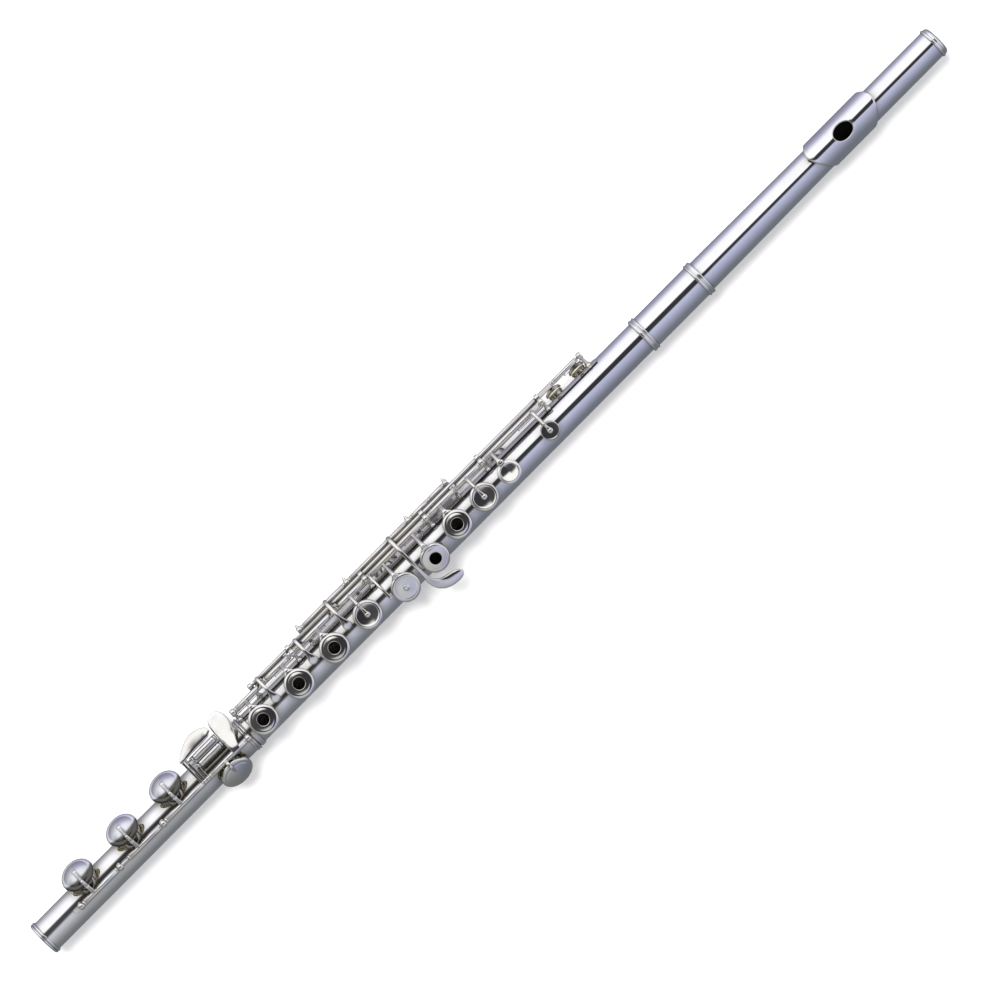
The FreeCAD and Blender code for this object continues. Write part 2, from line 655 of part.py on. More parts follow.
# Stop arm over the tube between the lower G cup and the F sharp cup
key.closed.append(strip([MAIN, (-14.2, 11.0), (-10.0, 13.6), (-4.0, 15.0), (3.6, 14.9)],
                        [2.2, 1.6, 1.3, 1.3, 1.5], -273.9, -272.3))
key.add_catch(-299.5)
key.finish()

# F sharp key: pinned to the steel that carries the F, E and D keys
key = Key("f_sharp_key", MAIN, [(-268.8, -247.2), (-210.0, -209.0), (-190.0, -188.6)],
          opening=OPEN_MAIN)
key.add_cup("f_sharp", "concave", 8.5)
key.add_catch(-257.0)
key.fixed += [lug(x0, x1, 50.0)
              for x0, x1 in [(-249.0, -247.2), (-210.0, -209.0), (-190.0, -189.4)]]
key.finish(core=cyl_x(-270.4, -164.4, STEEL_R, *MAIN))

# Open-hole keys: name, hole, tube x0, tube x1, cup radius, catch x, clutch x0, x1, angle
OPEN_HOLE_KEYS = [
    ("a_key", "a", -341.2, -320.1, 8.5, -331.0, -343.0, -339.4, 86.0),
    ("f_key", "f", -247.1, -214.1, 8.75, -236.0, -249.0, -245.4, 86.0),
    ("e_key", "e", -208.9, -190.1, 8.75, -196.5, -210.0, -207.5, 98.0),
    ("d_key", "d", -188.5, -167.1, 8.75, -182.0, -190.0, -187.1, 98.0),
]
for name, hole, tube0, tube1, radius, catch_x, clutch0, clutch1, angle in OPEN_HOLE_KEYS:
    key = Key(name, MAIN, [(tube0, tube1)], opening=OPEN_MAIN)
    key.add_cup(hole, "ring", radius, arm="side")
    key.add_catch(catch_x)
    key.fixed += clutch(tube0, clutch0, clutch1, angle)
    key.finish()

export("left_hand_steel", [cyl_x(-411.6, -270.6, STEEL_R, *MAIN)])


# ---------------------------------------------------------------- trill keys
def drop_touch(x, path, thickness, front_y, front_z, back_z):
    """Arm along path and a drop-shaped touch whose rounded end is at front_y."""
    arm = strip(path, thickness, x - 1.1, x + 1.1)
    # Half width and y, from the narrow end to the rounded end
    half = [(0.9, -12.5), (1.3, -9.5), (2.5, front_y - 3.9), (2.75, front_y - 1.9),
            (1.6, front_y - 0.4)]
    outline = [(x - w, y) for w, y in half] + [(x, front_y)]
    outline += [(x + w, y) for w, y in reversed(half)] + [(x, -12.9)]
    return [arm, sloped(outline, front_y, front_z, -12.5, back_z, 1.25)]


def trill_touch(x):
    path = [TRILL, (-19.5, 7.6), (-17.2, 11.2), (-12.6, 13.5), (-8.0, 14.2)]
    return drop_touch(x, path, [2.2, 1.6, 1.4, 1.3, 1.2], -2.5, 15.0, 14.4)


# Name, hole, tubes, touch x, catch x, solid core if pinned
TRILL_KEYS = [
    ("trill_d_key", "trill_d", [(-421.6, -216.2)], -218.3, -390.0, None),
    ("trill_ds_key", "trill_ds", [(-440.9, -421.7), (-216.1, -184.8)], -188.2, -430.0,
     cyl_x(-444.6, -181.0, TRILL_STEEL_R, *TRILL)),
]
for name, hole, tubes, touch_x, catch_x, core in TRILL_KEYS:
    key = Key(name, TRILL, tubes, outer=TRILL_R, bore=TRILL_BORE)
    key.add_cup(hole, "dome", 5.25, hinge_width=2.6, tip_width=1.5, top=3.5)
    key.fixed += trill_touch(touch_x)
    key.add_catch(catch_x)
    key.finish(core=core)


# ---------------------------------------------------------------- back line keys
def thumb_touch(x0, x1, end):
    """Curved touch under the tube, ending at the (y, z) point end."""
    return strip([BACK, (-18.6, -7.2), (-15.0, -12.6), (-9.6, -15.9), end],
                 [2.4, 1.7, 1.5, 1.4, 1.3], x0, x1)


# Thumb B key: a flat bar in the thumb hole's frame joins the cup to the hinge tube
key = Key("thumb_b_key", BACK, [(-338.4, -326.4)], opening=OPEN_THUMB)
key.add_cup("thumb", "dome", 7.9, arm=None)
THUMB_BAR = [
    (-371.3, -4.5), (-367.9, -4.2), (-356.0, 1.0), (-344.0, 4.0), (-335.0, 4.6), (-329.5, 8.6),
    (-329.5, 11.6), (-335.6, 11.6), (-336.6, 8.0), (-344.5, 6.6), (-357.5, 4.0), (-371.3, 3.8)]
key.closed.append(place(prism(THUMB_BAR, 15.35, 17.1), 0, HOLES["thumb"][1]))
key.fixed.append(thumb_touch(-337.4, -327.0, (-3.4, -17.4)))
key.add_catch(-332.0)
key.finish()

key = Key("thumb_bb_key", BACK, [(-326.2, -312.2)])
key.fixed.append(thumb_touch(-325.4, -315.6, (-2.2, -17.6)))
key.add_catch(-314.0)
key.finish()

# G sharp key: arm over the top of the tube to a curved touch, outline in (x, y)
key = Key("g_sharp_key", BACK, [(-308.8, -263.4)])
key.add_cup("g_sharp", "dome", 8.3)
G_SHARP_TOUCH = [
    (-294.1, 8.0), (-293.9, 12.2), (-295.8, 16.0), (-299.6, 19.3), (-304.8, 21.4),
    (-310.0, 21.9), (-312.6, 20.4), (-311.6, 18.0), (-306.8, 16.6), (-301.6, 15.4),
    (-298.2, 12.4), (-296.8, 8.0)]
key.fixed += [strip([BACK, (-22.2, 4.0), (-21.0, 9.4), (-15.8, 13.2), (-8.0, 15.4),
                     (0.0, 16.1), (8.0, 15.2), (13.5, 12.9)],
                    [2.4, 1.9, 1.8, 1.7, 1.6, 1.6, 1.5, 1.4], -296.7, -294.2),
              sloped(G_SHARP_TOUCH, 8.0, 15.9, 25.0, 9.5, 1.4)]
key.add_catch(-270.0)
key.finish()

key = Key("bb_side_lever", BACK, [(-260.0, -226.0)])
key.fixed += drop_touch(-245.3, [BACK, (-22.2, 4.0), (-20.6, 9.2), (-16.0, 12.6),
                                 (-11.0, 14.2), (-8.0, 14.5)],
                        [2.4, 1.9, 1.7, 1.5, 1.3, 1.2], -2.7, 15.2, 14.7)
key.add_catch(-232.0)
key.finish()

# One steel between each pair of posts; the outer ends stand out beyond the end posts
starts = [BACK_POSTS[0] - 1.5] + [x + 0.05 for x in BACK_POSTS[1:-1]]
ends = [x - 0.05 for x in BACK_POSTS[1:-1]] + [BACK_POSTS[-1] + 1.5]
export("back_steels", [cyl_x(a, b, STEEL_R, *BACK) for a, b in zip(starts, ends)])

# ---------------------------------------------------------------- foot joint keys
key = Key("low_ds_key", FOOT, [(-160.0, -131.4)], bore=SHAFT_BORE)
key.add_cup("d_sharp", "dome", 10.1, hinge_width=3.6, tip_width=2.0)
LOW_DS_TOUCH = [
    (-149.7, 0.5), (-149.5, -8.0), (-149.6, -15.0), (-151.0, -20.5), (-155.5, -23.8),
    (-160.0, -21.4), (-161.5, -16.8), (-159.6, -11.0), (-156.6, -5.5), (-155.2, 0.5)]
key.fixed.append(sloped(LOW_DS_TOUCH, 0.0, 15.4, -24.0, 11.3, 1.45))
key.add_catch(-158.5)
key.finish()

PINKY_PLANE = (1.0, 15.3, -24.6, 11.4)   # ya, za, yb, zb of the plane of the pinky arms
ROLLER_Y_B, ROLLER_Y_C = -8.4, -13.1     # roller lines
ROLLER_R = 2.05
ROLLER_X0, ROLLER_X1 = -148.0, -132.2


def pinky_plate(outline, thickness=1.5, curve=False):
    return sloped(outline, *PINKY_PLANE, thickness, curve)


def roller_z(y):
    ya, za, yb, zb = PINKY_PLANE
    return za + (zb - za) * (y - ya) / (yb - ya) - 0.7


def roller_frame(y, collar):
    """Arm from a collar, a bed under the roller and two ears that carry its pin."""
    z = roller_z(y)
    arm0, arm1 = collar[0] + 0.15, collar[1] - 0.15
    ear_x0, ear_x1 = ROLLER_X0 - 1.3, ROLLER_X1 + 0.2
    y0, width = y - 1.7, 3.4
    low = z - 3.6
    arm = pinky_plate([(arm0, 0.5), (arm1, 0.5), (arm1, y - 1.9), (arm0, y - 1.9)])
    bed = Part.makeBox(ROLLER_X1 - ROLLER_X0 + 2.6, width, 1.0, Vec(ear_x0, y0, low))
    ears = [Part.makeBox(1.1, width, 4.4, Vec(x, y0, low)) for x in (ear_x0, ear_x1)]
    reach = Part.makeBox(arm1 - ear_x1, width, 1.5, Vec(ear_x1, y0, z - 0.7))
    pin = cyl_x(ROLLER_X0 - 1.0, ROLLER_X1 + 1.0, 0.7, y, z)
    return [arm, bed] + ears + [reach, pin]


def roller(y):
    x0, x1 = ROLLER_X0, ROLLER_X1
    return rev_x([(x0, 0.75), (x0, 1.5), ((x0 + 0.25, 1.85), (x0 + 0.9, ROLLER_R)),
                  (x1 - 0.9, ROLLER_R), ((x1 - 0.25, 1.85), (x1, 1.5)), (x1, 0.75)],
                 y, roller_z(y))


def roller_key(name, hole, tubes, roller_y, catch_x, core, core_bore=None):
    """Key with a domed cup; the first of its tubes is the collar of the roller frame."""
    key = Key(name, FOOT, tubes, opening=OPEN_FOOT)
    key.add_cup(hole, "dome", 10.25, hinge_width=3.8, tip_width=2.2)
    key.fixed += roller_frame(roller_y, tubes[0])
    key.add_catch(catch_x)
    key.finish(core=core, core_bore=core_bore)


# B key: on a stepped shaft that runs through the other foot keys
shaft = fuse([cyl_x(-163.0, -66.8, SHAFT_R, *FOOT), cyl_x(-66.9, -31.0, SLEEVE_R, *FOOT),
              cyl_x(-31.1, -28.2, SHAFT_R, *FOOT)])
roller_key("low_b_key", "low_b", [(-131.3, -129.0), (-58.2, -31.3)], ROLLER_Y_B, -54.0, shaft)
export("low_b_roller", [roller(ROLLER_Y_B)])

# C key: sleeve over the B shaft
roller_key("low_c_key", "low_c", [(-128.9, -126.8), (-92.2, -67.0)], ROLLER_Y_C, -88.0,
           core=cyl_x(-128.9, -67.0, SLEEVE_R, *FOOT),
           core_bore=cyl_x(-132, -60, SHAFT_BORE, *FOOT))
export("low_c_roller", [roller(ROLLER_Y_C)])

# C sharp key: tube over the C key's sleeve
key = Key("low_cs_key", FOOT, [(-126.7, -96.4)], bore=SLEEVE_BORE, opening=OPEN_FOOT)
key.add_cup("low_cs", "dome", 10.25, hinge_width=3.8, tip_width=2.2)
LOW_CS_TOUCH = [
    (-149.0, -16.0), (-140.0, -15.7), (-131.0, -15.8), (-127.0, -15.6), (-125.2, -15.4),
    (-124.6, -17.0), (-127.2, -19.6), (-132.0, -21.9), (-138.0, -24.0), (-144.0, -23.6),
    (-148.6, -20.2)]
key.fixed += [pinky_plate(LOW_CS_TOUCH, 1.4, True),
              pinky_plate([(-126.6, 0.5), (-124.9, 0.5), (-124.9, -16.5), (-126.6, -16.5)])]
key.add_catch(-100.5)
key.finish()

# ---------------------------------------------------------------- needle springs
# Distance of a needle from its hinge line, towards the bore
SPRING_OFFSET = {MAIN: 2.75, TRILL: 2.3, BACK: 2.75, FOOT: 2.25}

# Post x, key
BODY_SPRINGS = [
    (MAIN_POSTS[0], "c_key"), (MAIN_POSTS[1], "bb_key"), (MAIN_POSTS[2], "a_key"),
    (MAIN_POSTS[2], "g_key"), (MAIN_POSTS[3], "f_sharp_key"), (MAIN_POSTS[4], "f_key"),
    (MAIN_POSTS[4], "e_key"), (MAIN_END_POST, "d_key"),
    (TRILL_POSTS[0], "trill_ds_key"), (MAIN_POSTS[0], "trill_d_key"),
    (BACK_POSTS[0], "thumb_b_key"), (BACK_POSTS[1], "thumb_bb_key"),
    (BACK_POSTS[2], "g_sharp_key"), (BACK_POSTS[3], "bb_side_lever"),
]
FOOT_SPRINGS = [
    (FOOT_POSTS[0], "low_ds_key"), (FOOT_POSTS[1], "low_c_key"),
    (FOOT_POSTS[1], "low_cs_key"), (FOOT_POSTS[2], "low_b_key"),
]


def spring(post_x, key):
    """Tapered needle from a post's flank to just short of the key's catch."""
    if key.line == FOOT:
        start_gap = 2.2 if post_x > -155 else 1.9
        radius = 0.22
    else:
        start_gap = 1.27
        radius = 0.28
    step = math.copysign(1.0, key.catch_x - post_x)
    scale = 1 - SPRING_OFFSET[key.line] / math.hypot(*key.line)
    y, z = key.line[0] * scale, key.line[1] * scale
    start = Vec(post_x + step * start_gap, y, z)
    along = Vec(key.catch_x - step * 0.75, y, z).sub(start)
    return Part.makeCone(radius, radius * 0.6, along.Length, start, along)


export("body_springs", [spring(x, KEYS[name]) for x, name in BODY_SPRINGS])
export("foot_springs", [spring(x, KEYS[name]) for x, name in FOOT_SPRINGS])
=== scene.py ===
"""A silver-plated concert flute with pads, keywork, lip plate and stopper cork, in a white studio.

The tube lies along X, head at -X and foot at +X, its axis at y = z = 0. Shapes are built in
millimetres. Angles round the tube are in degrees from +Z and grow towards -Y.
"""
import json
import math
from collections import namedtuple

import bpy
import bmesh
from mathutils import Matrix, Vector, noise


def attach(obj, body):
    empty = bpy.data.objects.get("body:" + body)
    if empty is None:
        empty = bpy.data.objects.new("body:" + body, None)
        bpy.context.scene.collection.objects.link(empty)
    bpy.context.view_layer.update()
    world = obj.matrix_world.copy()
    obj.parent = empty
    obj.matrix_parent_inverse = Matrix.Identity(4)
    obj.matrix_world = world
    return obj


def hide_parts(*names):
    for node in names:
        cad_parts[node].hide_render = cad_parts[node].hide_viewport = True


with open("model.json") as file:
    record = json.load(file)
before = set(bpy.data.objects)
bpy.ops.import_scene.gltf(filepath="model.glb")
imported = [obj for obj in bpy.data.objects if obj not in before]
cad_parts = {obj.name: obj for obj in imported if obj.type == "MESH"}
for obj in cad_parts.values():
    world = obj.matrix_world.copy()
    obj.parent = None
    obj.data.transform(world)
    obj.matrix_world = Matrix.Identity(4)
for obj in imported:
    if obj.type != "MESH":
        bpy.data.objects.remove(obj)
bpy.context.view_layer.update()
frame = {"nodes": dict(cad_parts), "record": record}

MM = 0.001

# ---------------------------------------------------------------- driving dimensions, mm
# hinge lines as (y, z)
MAIN, TRILL, BACK, FOOT = (-15.0, 7.2), (-17.9, 3.9), (-20.0, -1.0), (0.2, 14.0)
CATCH_LENGTH = {MAIN: 3.1, TRILL: 2.6, BACK: 3.0, FOOT: 2.9}
RIM = 12.2                      # tone hole rims, from the tube's axis
PAD_Z = RIM + 0.04              # face of a closed pad
RING_HOLE = 3.5                 # radius of the hole in a ring cup
EMBOUCHURE_X = -637.0

# how far a key is turned about its hinge line, degrees
OPEN, OPEN_BACK, SHUT = 10.0, -12.0, 0.0

# tone hole: x, angle round the tube, radius
HOLES = {
    "c_sharp": (-402.1, 0.0, 3.5), "thumb": (-369.7, 125.0, 6.5), "b_flat": (-350.0, 0.0, 6.65),
    "a": (-328.5, 0.0, 6.8), "g_upper": (-306.5, -18.5, 6.95), "g_lower": (-283.4, -18.5, 7.1),
    "g_sharp": (-283.4, 130.0, 7.1), "f_sharp": (-257.5, 0.0, 7.3), "f": (-231.3, 0.0, 7.4),
    "e": (-203.3, 0.0, 7.5), "d": (-175.0, 0.0, 7.6), "trill_ds": (-437.0, 105.0, 3.9),
    "trill_d": (-419.0, 105.0, 3.9), "d_sharp": (-143.5, -46.0, 7.2),
    "low_cs": (-109.3, 61.0, 7.9), "low_c": (-75.2, 61.0, 7.9), "low_b": (-39.9, 61.0, 7.9)}

Cup = namedtuple("Cup", "hole shape radius arm arm_top arm_width", defaults=("pointed", 3.45, 1.9))
Key = namedtuple("Key", "line angle tubes cups outer bore", defaults=(1.8, 1.05))


def trill_cup(hole):
    return Cup(hole, "dome", 5.25, arm_top=3.7, arm_width=1.7)


def foot_cup(hole):
    return Cup(hole, "high", 10.25, arm_top=5.2, arm_width=2.1)


# key: hinge line, turn, x spans of its hinge tubes, cups, outer and bore radius of the tubes
KEYS = {
    "c_key": Key(MAIN, OPEN, [(-408.4, -364.1)], [Cup("c_sharp", "concave", 5.6)]),
    "bb_key": Key(MAIN, OPEN, [(-360.9, -341.3)], [Cup("b_flat", "concave", 8.3)]),
    "a_key": Key(MAIN, OPEN, [(-341.2, -320.1)], [Cup("a", "ring", 8.5, "side")]),
    "g_key": Key(MAIN, OPEN, [(-316.9, -272.1)],
                 [Cup("g_upper", "ring", 8.5, "side"), Cup("g_lower", "boss", 8.5, None)]),
    "f_sharp_key": Key(MAIN, OPEN, [(-268.8, -247.2), (-210.0, -209.0), (-190.0, -188.6)],
                       [Cup("f_sharp", "concave", 8.5)], bore=0.0),
    "f_key": Key(MAIN, OPEN, [(-247.1, -214.1)], [Cup("f", "ring", 8.75, "side")]),
    "e_key": Key(MAIN, OPEN, [(-208.9, -190.1)], [Cup("e", "ring", 8.75, "side")]),
    "d_key": Key(MAIN, OPEN, [(-188.5, -167.1)], [Cup("d", "ring", 8.75, "side")]),
    "trill_d_key": Key(TRILL, SHUT, [(-421.6, -216.2)], [trill_cup("trill_d")], 1.5, 0.85),
    "trill_ds_key": Key(TRILL, SHUT, [(-440.9, -421.7), (-216.1, -184.8)],
                        [trill_cup("trill_ds")], 1.5, 0.0),
    "thumb_b_key": Key(BACK, OPEN_BACK, [(-338.4, -326.4)], [Cup("thumb", "dome", 7.9, None)]),
    "thumb_bb_key": Key(BACK, SHUT, [(-326.2, -312.2)], []),
    "g_sharp_key": Key(BACK, SHUT, [(-308.8, -263.4)], [Cup("g_sharp", "dome", 8.3)]),
    "bb_side_lever": Key(BACK, SHUT, [(-260.0, -226.0)], []),
    "low_ds_key": Key(FOOT, SHUT, [(-160.0, -131.4)],
                      [Cup("d_sharp", "dome", 10.1, arm_width=2.0)], bore=0.65),
    "low_cs_key": Key(FOOT, OPEN_BACK, [(-126.7, -96.4)], [foot_cup("low_cs")], bore=1.15),
    "low_c_key": Key(FOOT, OPEN_BACK, [(-128.9, -126.8), (-92.2, -67.0)],
                     [foot_cup("low_c")], bore=0.65),
    "low_b_key": Key(FOOT, OPEN_BACK, [(-131.3, -129.0), (-58.2, -31.3)],
                     [foot_cup("low_b")], bore=0.0)}


# ---------------------------------------------------------------- shader helpers
def wire(tree, target, inputs):
    """Links the inputs given as sockets and sets the others to their values."""
    for key, value in inputs.items():
        if isinstance(value, bpy.types.NodeSocket):
            tree.links.new(value, target.inputs[key])
        else:
            target.inputs[key].default_value = value


def node(tree, kind, inputs=None, **settings):
    made = tree.nodes.new(kind)
    for key, value in settings.items():
        setattr(made, key, value)
    wire(tree, made, inputs or {})
    return made


def new_material(name):
    material = bpy.data.materials.new(name)
    material.use_nodes = True
    tree = material.node_tree
    tree.nodes.clear()
    output = tree.nodes.new("ShaderNodeOutputMaterial")
    shader = tree.nodes.new("ShaderNodeBsdfPrincipled")
    tree.links.new(shader.outputs[0], output.inputs[0])
    return material, tree, shader


def object_coords(tree):
    return node(tree, "ShaderNodeTexCoord").outputs["Object"]


def noise_texture(tree, vector, scale, detail, roughness=0.5):
    return node(tree, "ShaderNodeTexNoise", {
        "Vector": vector, "Scale": scale, "Detail": detail, "Roughness": roughness}).outputs["Fac"]


def ramp(tree, factor, stops):
    """Colour ramp through (position, rgb) stops."""
    made = node(tree, "ShaderNodeValToRGB", {0: factor})
    elements = made.color_ramp.elements
    while len(elements) < len(stops):
        elements.new(0.5)
    for i, (position, colour) in enumerate(stops):
        elements[i].position = position
        elements[i].color = (*colour, 1.0)
    return made.outputs[0]


def mix_colour(tree, factor, first, second):
    made = node(tree, "ShaderNodeMix", {0: factor, 6: first, 7: second}, data_type="RGBA")
    return made.outputs[2]


def math_node(tree, operation, *operands):
    return node(tree, "ShaderNodeMath", dict(enumerate(operands)), operation=operation).outputs[0]


def map_range(tree, value, from_min, from_max, to_min=0.0, to_max=1.0, **settings):
    return node(tree, "ShaderNodeMapRange", {
        "Value": value, "From Min": from_min, "From Max": from_max,
        "To Min": to_min, "To Max": to_max}, **settings).outputs[0]


def bump(tree, height, strength, distance):
    return node(tree, "ShaderNodeBump", {
        "Strength": strength, "Distance": distance, "Height": height}).outputs[0]


# ---------------------------------------------------------------- materials
# Painted shade colour for the faces inside the bore, and their roughness.
BORE_PAINTED_SHADE, BORE_ROUGHNESS = (0.17, 0.155, 0.15, 1.0), 0.6


def paint_bore_shade(tree, colour, roughness):
    """Paints shade on the faces that look towards the tube's axis, inside the bore, and roughens
    them.
    """
    geometry = node(tree, "ShaderNodeNewGeometry")
    radial = node(tree, "ShaderNodeVectorMath",
                  {0: geometry.outputs["Position"], 1: (0.0, 1.0, 1.0)}, operation="MULTIPLY")
    facing = node(tree, "ShaderNodeVectorMath",
                  {0: radial.outputs[0], 1: geometry.outputs["Normal"]}, operation="DOT_PRODUCT")
    inward = math_node(tree, "LESS_THAN", facing.outputs["Value"], -0.002)
    colour = mix_colour(tree, inward, colour, BORE_PAINTED_SHADE)
    least = math_node(tree, "MULTIPLY", inward, BORE_ROUGHNESS)
    return colour, math_node(tree, "MAXIMUM", roughness, least)


def metal(name, clean, dull, roughness, spread, hair_scale=(40.0, 900.0, 900.0), hair_bump=0.02,
          painted_shade_colour=(0.30, 0.27, 0.20), reach=2.5, span=(0.25, 0.80), bore=False, painted_side_shade=None):
    """Plate or steel: cloudy handling marks, hairline polishing lines, painted shade in hollows.

    Roughness runs from roughness to roughness + spread. The painted shade colour comes in where
    the occlusion within reach mm falls through span. A painted shade on one side follows a point
    attribute.
    """
    material, tree, shader = new_material(name)
    coords = object_coords(tree)
    clouds = noise_texture(tree, coords, scale=55.0, detail=4.0, roughness=0.6)
    stretched = node(tree, "ShaderNodeMapping", {"Vector": coords, "Scale": hair_scale})
    hair = noise_texture(tree, stretched.outputs[0], scale=3.0, detail=3.0, roughness=0.7)
    colour = ramp(tree, clouds, [(0.30, dull), (0.62, clean)])
    # Painted shade: the colour darkens towards a shade colour where other parts occlude within reach
    # mm.
    occlusion = node(tree, "ShaderNodeAmbientOcclusion", {"Distance": reach * MM}, samples=6)
    painted_shade_mask = ramp(tree, occlusion.outputs["AO"], [(span[0], (1, 1, 1)), (span[1], (0, 0, 0))])
    colour = mix_colour(tree, painted_shade_mask, colour, (*painted_shade_colour, 1.0))
    # Painted shade on one side of the foot cups, weighted by a point attribute.
    if painted_side_shade:
        weight = node(tree, "ShaderNodeAttribute", attribute_name="painted_side_shade").outputs["Fac"]
        colour = mix_colour(tree, weight, colour, (*painted_side_shade, 1.0))
    total = math_node(tree, "ADD", clouds, hair)
    mean = math_node(tree, "MULTIPLY", total, 0.5)
    rough = map_range(tree, mean, 0.35, 0.70, to_min=roughness, to_max=roughness + spread)
    # painted shade inside the bore
    if bore:
        colour, rough = paint_bore_shade(tree, colour, rough)
    wire(tree, shader, {
        "Base Color": colour, "Roughness": rough, "Metallic": 1.0,
        "Normal": bump(tree, hair, strength=hair_bump, distance=0.00002)})
    return material


def porous(name, noise_scale, noise_detail, noise_roughness, cell_scale, stops, roughness,
           bump_strength, bump_distance, **shading):
    """Soft material: a noise colour ramp over a cellular bump."""
    material, tree, shader = new_material(name)
    coords = object_coords(tree)
    mottle = noise_texture(tree, coords, noise_scale, noise_detail, noise_roughness)
    cells = node(tree, "ShaderNodeTexVoronoi", {"Vector": coords, "Scale": cell_scale})
    wire(tree, shader, {
        "Base Color": ramp(tree, mottle, stops), "Roughness": roughness,
        "Normal": bump(tree, cells.outputs["Distance"], bump_strength, bump_distance)})
    wire(tree, shader, shading.get("extra", {}))
    return material


# Painted shade: every metal below darkens towards a given shade colour in hollows and between parts.
SILVER = metal("silver_tube_plate", clean=(0.90, 0.90, 0.92), dull=(0.84, 0.84, 0.87),
               roughness=0.05, spread=0.04, painted_shade_colour=(0.26, 0.235, 0.17), reach=8.0,
               span=(0.35, 0.93), bore=True)
KEY_SILVER = metal("silver_key_plate", clean=(0.88, 0.87, 0.86), dull=(0.77, 0.74, 0.68),
                   roughness=0.07, spread=0.07, hair_scale=(300.0, 300.0, 300.0), hair_bump=0.03,
                   painted_shade_colour=(0.20, 0.18, 0.125), reach=6.0, span=(0.28, 0.90))
# Painted shade: the riser is seen only inside the embouchure hole, so its plate is near-black.
DARK = metal("riser_painted_shade", clean=(0.035, 0.033, 0.03), dull=(0.02, 0.02, 0.018),
             roughness=0.45, spread=0.2, hair_scale=(300.0, 300.0, 300.0), hair_bump=0.05,
             painted_shade_colour=(0.02, 0.02, 0.02), reach=3.0)
# The foot cup plate is a bluer copy of the key silver, tinted with a painted lavender reflection.
CUP_SILVER = metal("foot_cup_plate", clean=(0.80, 0.80, 0.86), dull=(0.69, 0.69, 0.74),
                   roughness=0.10, spread=0.08, hair_scale=(400.0, 400.0, 400.0), hair_bump=0.03,
                   painted_shade_colour=(0.16, 0.145, 0.095), reach=9.0, span=(0.45, 0.93),
                   painted_side_shade=(0.05, 0.046, 0.03))
STEEL = metal("hinge_steel", clean=(0.56, 0.57, 0.60), dull=(0.42, 0.42, 0.44),
              roughness=0.22, spread=0.15, hair_scale=(20.0, 1500.0, 1500.0), hair_bump=0.1)
BLUED = metal("blued_spring_steel", clean=(0.13, 0.16, 0.27), dull=(0.22, 0.18, 0.14),
              roughness=0.28, spread=0.15, hair_scale=(20.0, 1500.0, 1500.0), hair_bump=0.1)
SKIN = porous("pad_skin_fish", noise_scale=420.0, noise_detail=5.0, noise_roughness=0.65,
              cell_scale=1300.0, roughness=0.42, bump_strength=0.25, bump_distance=0.00005,
              stops=[(0.3, (0.66, 0.52, 0.28)), (0.55, (0.84, 0.74, 0.50)),
                     (0.75, (0.92, 0.86, 0.70))],
              extra={"Subsurface Weight": 0.12, "Subsurface Radius": (0.002, 0.0014, 0.0008)})
CORK = porous("cork_natural", noise_scale=500.0, noise_detail=6.0, noise_roughness=0.7,
              cell_scale=900.0, roughness=0.85, bump_strength=0.5, bump_distance=0.0001,
              stops=[(0.32, (0.20, 0.11, 0.05)), (0.45, (0.50, 0.31, 0.16)),
                     (0.65, (0.68, 0.48, 0.28))])

SLOT_MATERIALS = {"silver_tube": SILVER, "silver_keys": KEY_SILVER, "steel": STEEL,
                  "pad_skin": SKIN, "cork": CORK}


def dress_cad():
    """Gives each CAD piece the material of its slot; springs and riser have their own."""
    slots = {part["node"]: part["material_slot"] for part in frame["record"]["subparts"]}
    for name, ob in frame["nodes"].items():
        material = SLOT_MATERIALS[slots[name]]
        if name.endswith("_springs"):
            material = BLUED
        # the riser gets the near-black painted shade
        if name == "embouchure_riser":
            material = DARK
        ob.data.materials.clear()
        ob.data.materials.append(material)


# ---------------------------------------------------------------- mesh helpers
# A part is a pair (vertices, faces). A profile is a list of (radius, height) points.
def place(x, angle):
    """Stands a part on the tube at x, its Z pointing out at the angle."""
    return Matrix.Translation((x, 0, 0)) @ Matrix.Rotation(math.radians(angle), 4, "X")


def turned(line, angle):
    """Turn about a hinge line."""
    to_line = Matrix.Translation((0, line[0], line[1]))
    return to_line @ Matrix.Rotation(math.radians(angle), 4, "X") @ to_line.inverted()


def cup_pose(key, cup):
    x, angle, _ = HOLES[cup.hole]
    return turned(key.line, key.angle) @ place(x, angle)


def seen_from(line, angle):
    """A hinge line's (y, z) in the frame that place() gives at the angle."""
    a = math.radians(angle)
    y, z = line
    return (y * math.cos(a) + z * math.sin(a), -y * math.sin(a) + z * math.cos(a))


def make(name, part, material):
    """Object from a part in mm, welded, smooth and with its normals outward."""
    verts, faces = part
    mesh = bpy.data.meshes.new(name)
    mesh.from_pydata([tuple(c * MM for c in v) for v in verts], [], faces)
    mesh.materials.append(material)
    bm = bmesh.new()
    bm.from_mesh(mesh)
    bmesh.ops.remove_doubles(bm, verts=bm.verts, dist=1e-7)
    bmesh.ops.recalc_face_normals(bm, faces=bm.faces)
    bm.to_mesh(mesh)
    bm.free()
    for polygon in mesh.polygons:
        polygon.use_smooth = True
    ob = bpy.data.objects.new(name, mesh)
    bpy.context.scene.collection.objects.link(ob)
    return ob


def register(ob, body, replaced=None):
    """The object rides on a body and may stand in for a CAD piece."""
    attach(ob, body)
    if replaced:
        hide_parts(replaced)


def moved(part, matrix):
    return [tuple(matrix @ Vector(v)) for v in part[0]], part[1]


def along_x(part, line=(0.0, 0.0), x=0.0):
    """Lays a part turned about Z along X, on a (y, z) line."""
    return [(x + c, a + line[0], b + line[1]) for a, b, c in part[0]], part[1]


def joined(parts):
    verts, faces = [], []
    for part_verts, part_faces in parts:
        start = len(verts)
        verts += part_verts
        faces += [tuple(i + start for i in face) for face in part_faces]
    return verts, faces


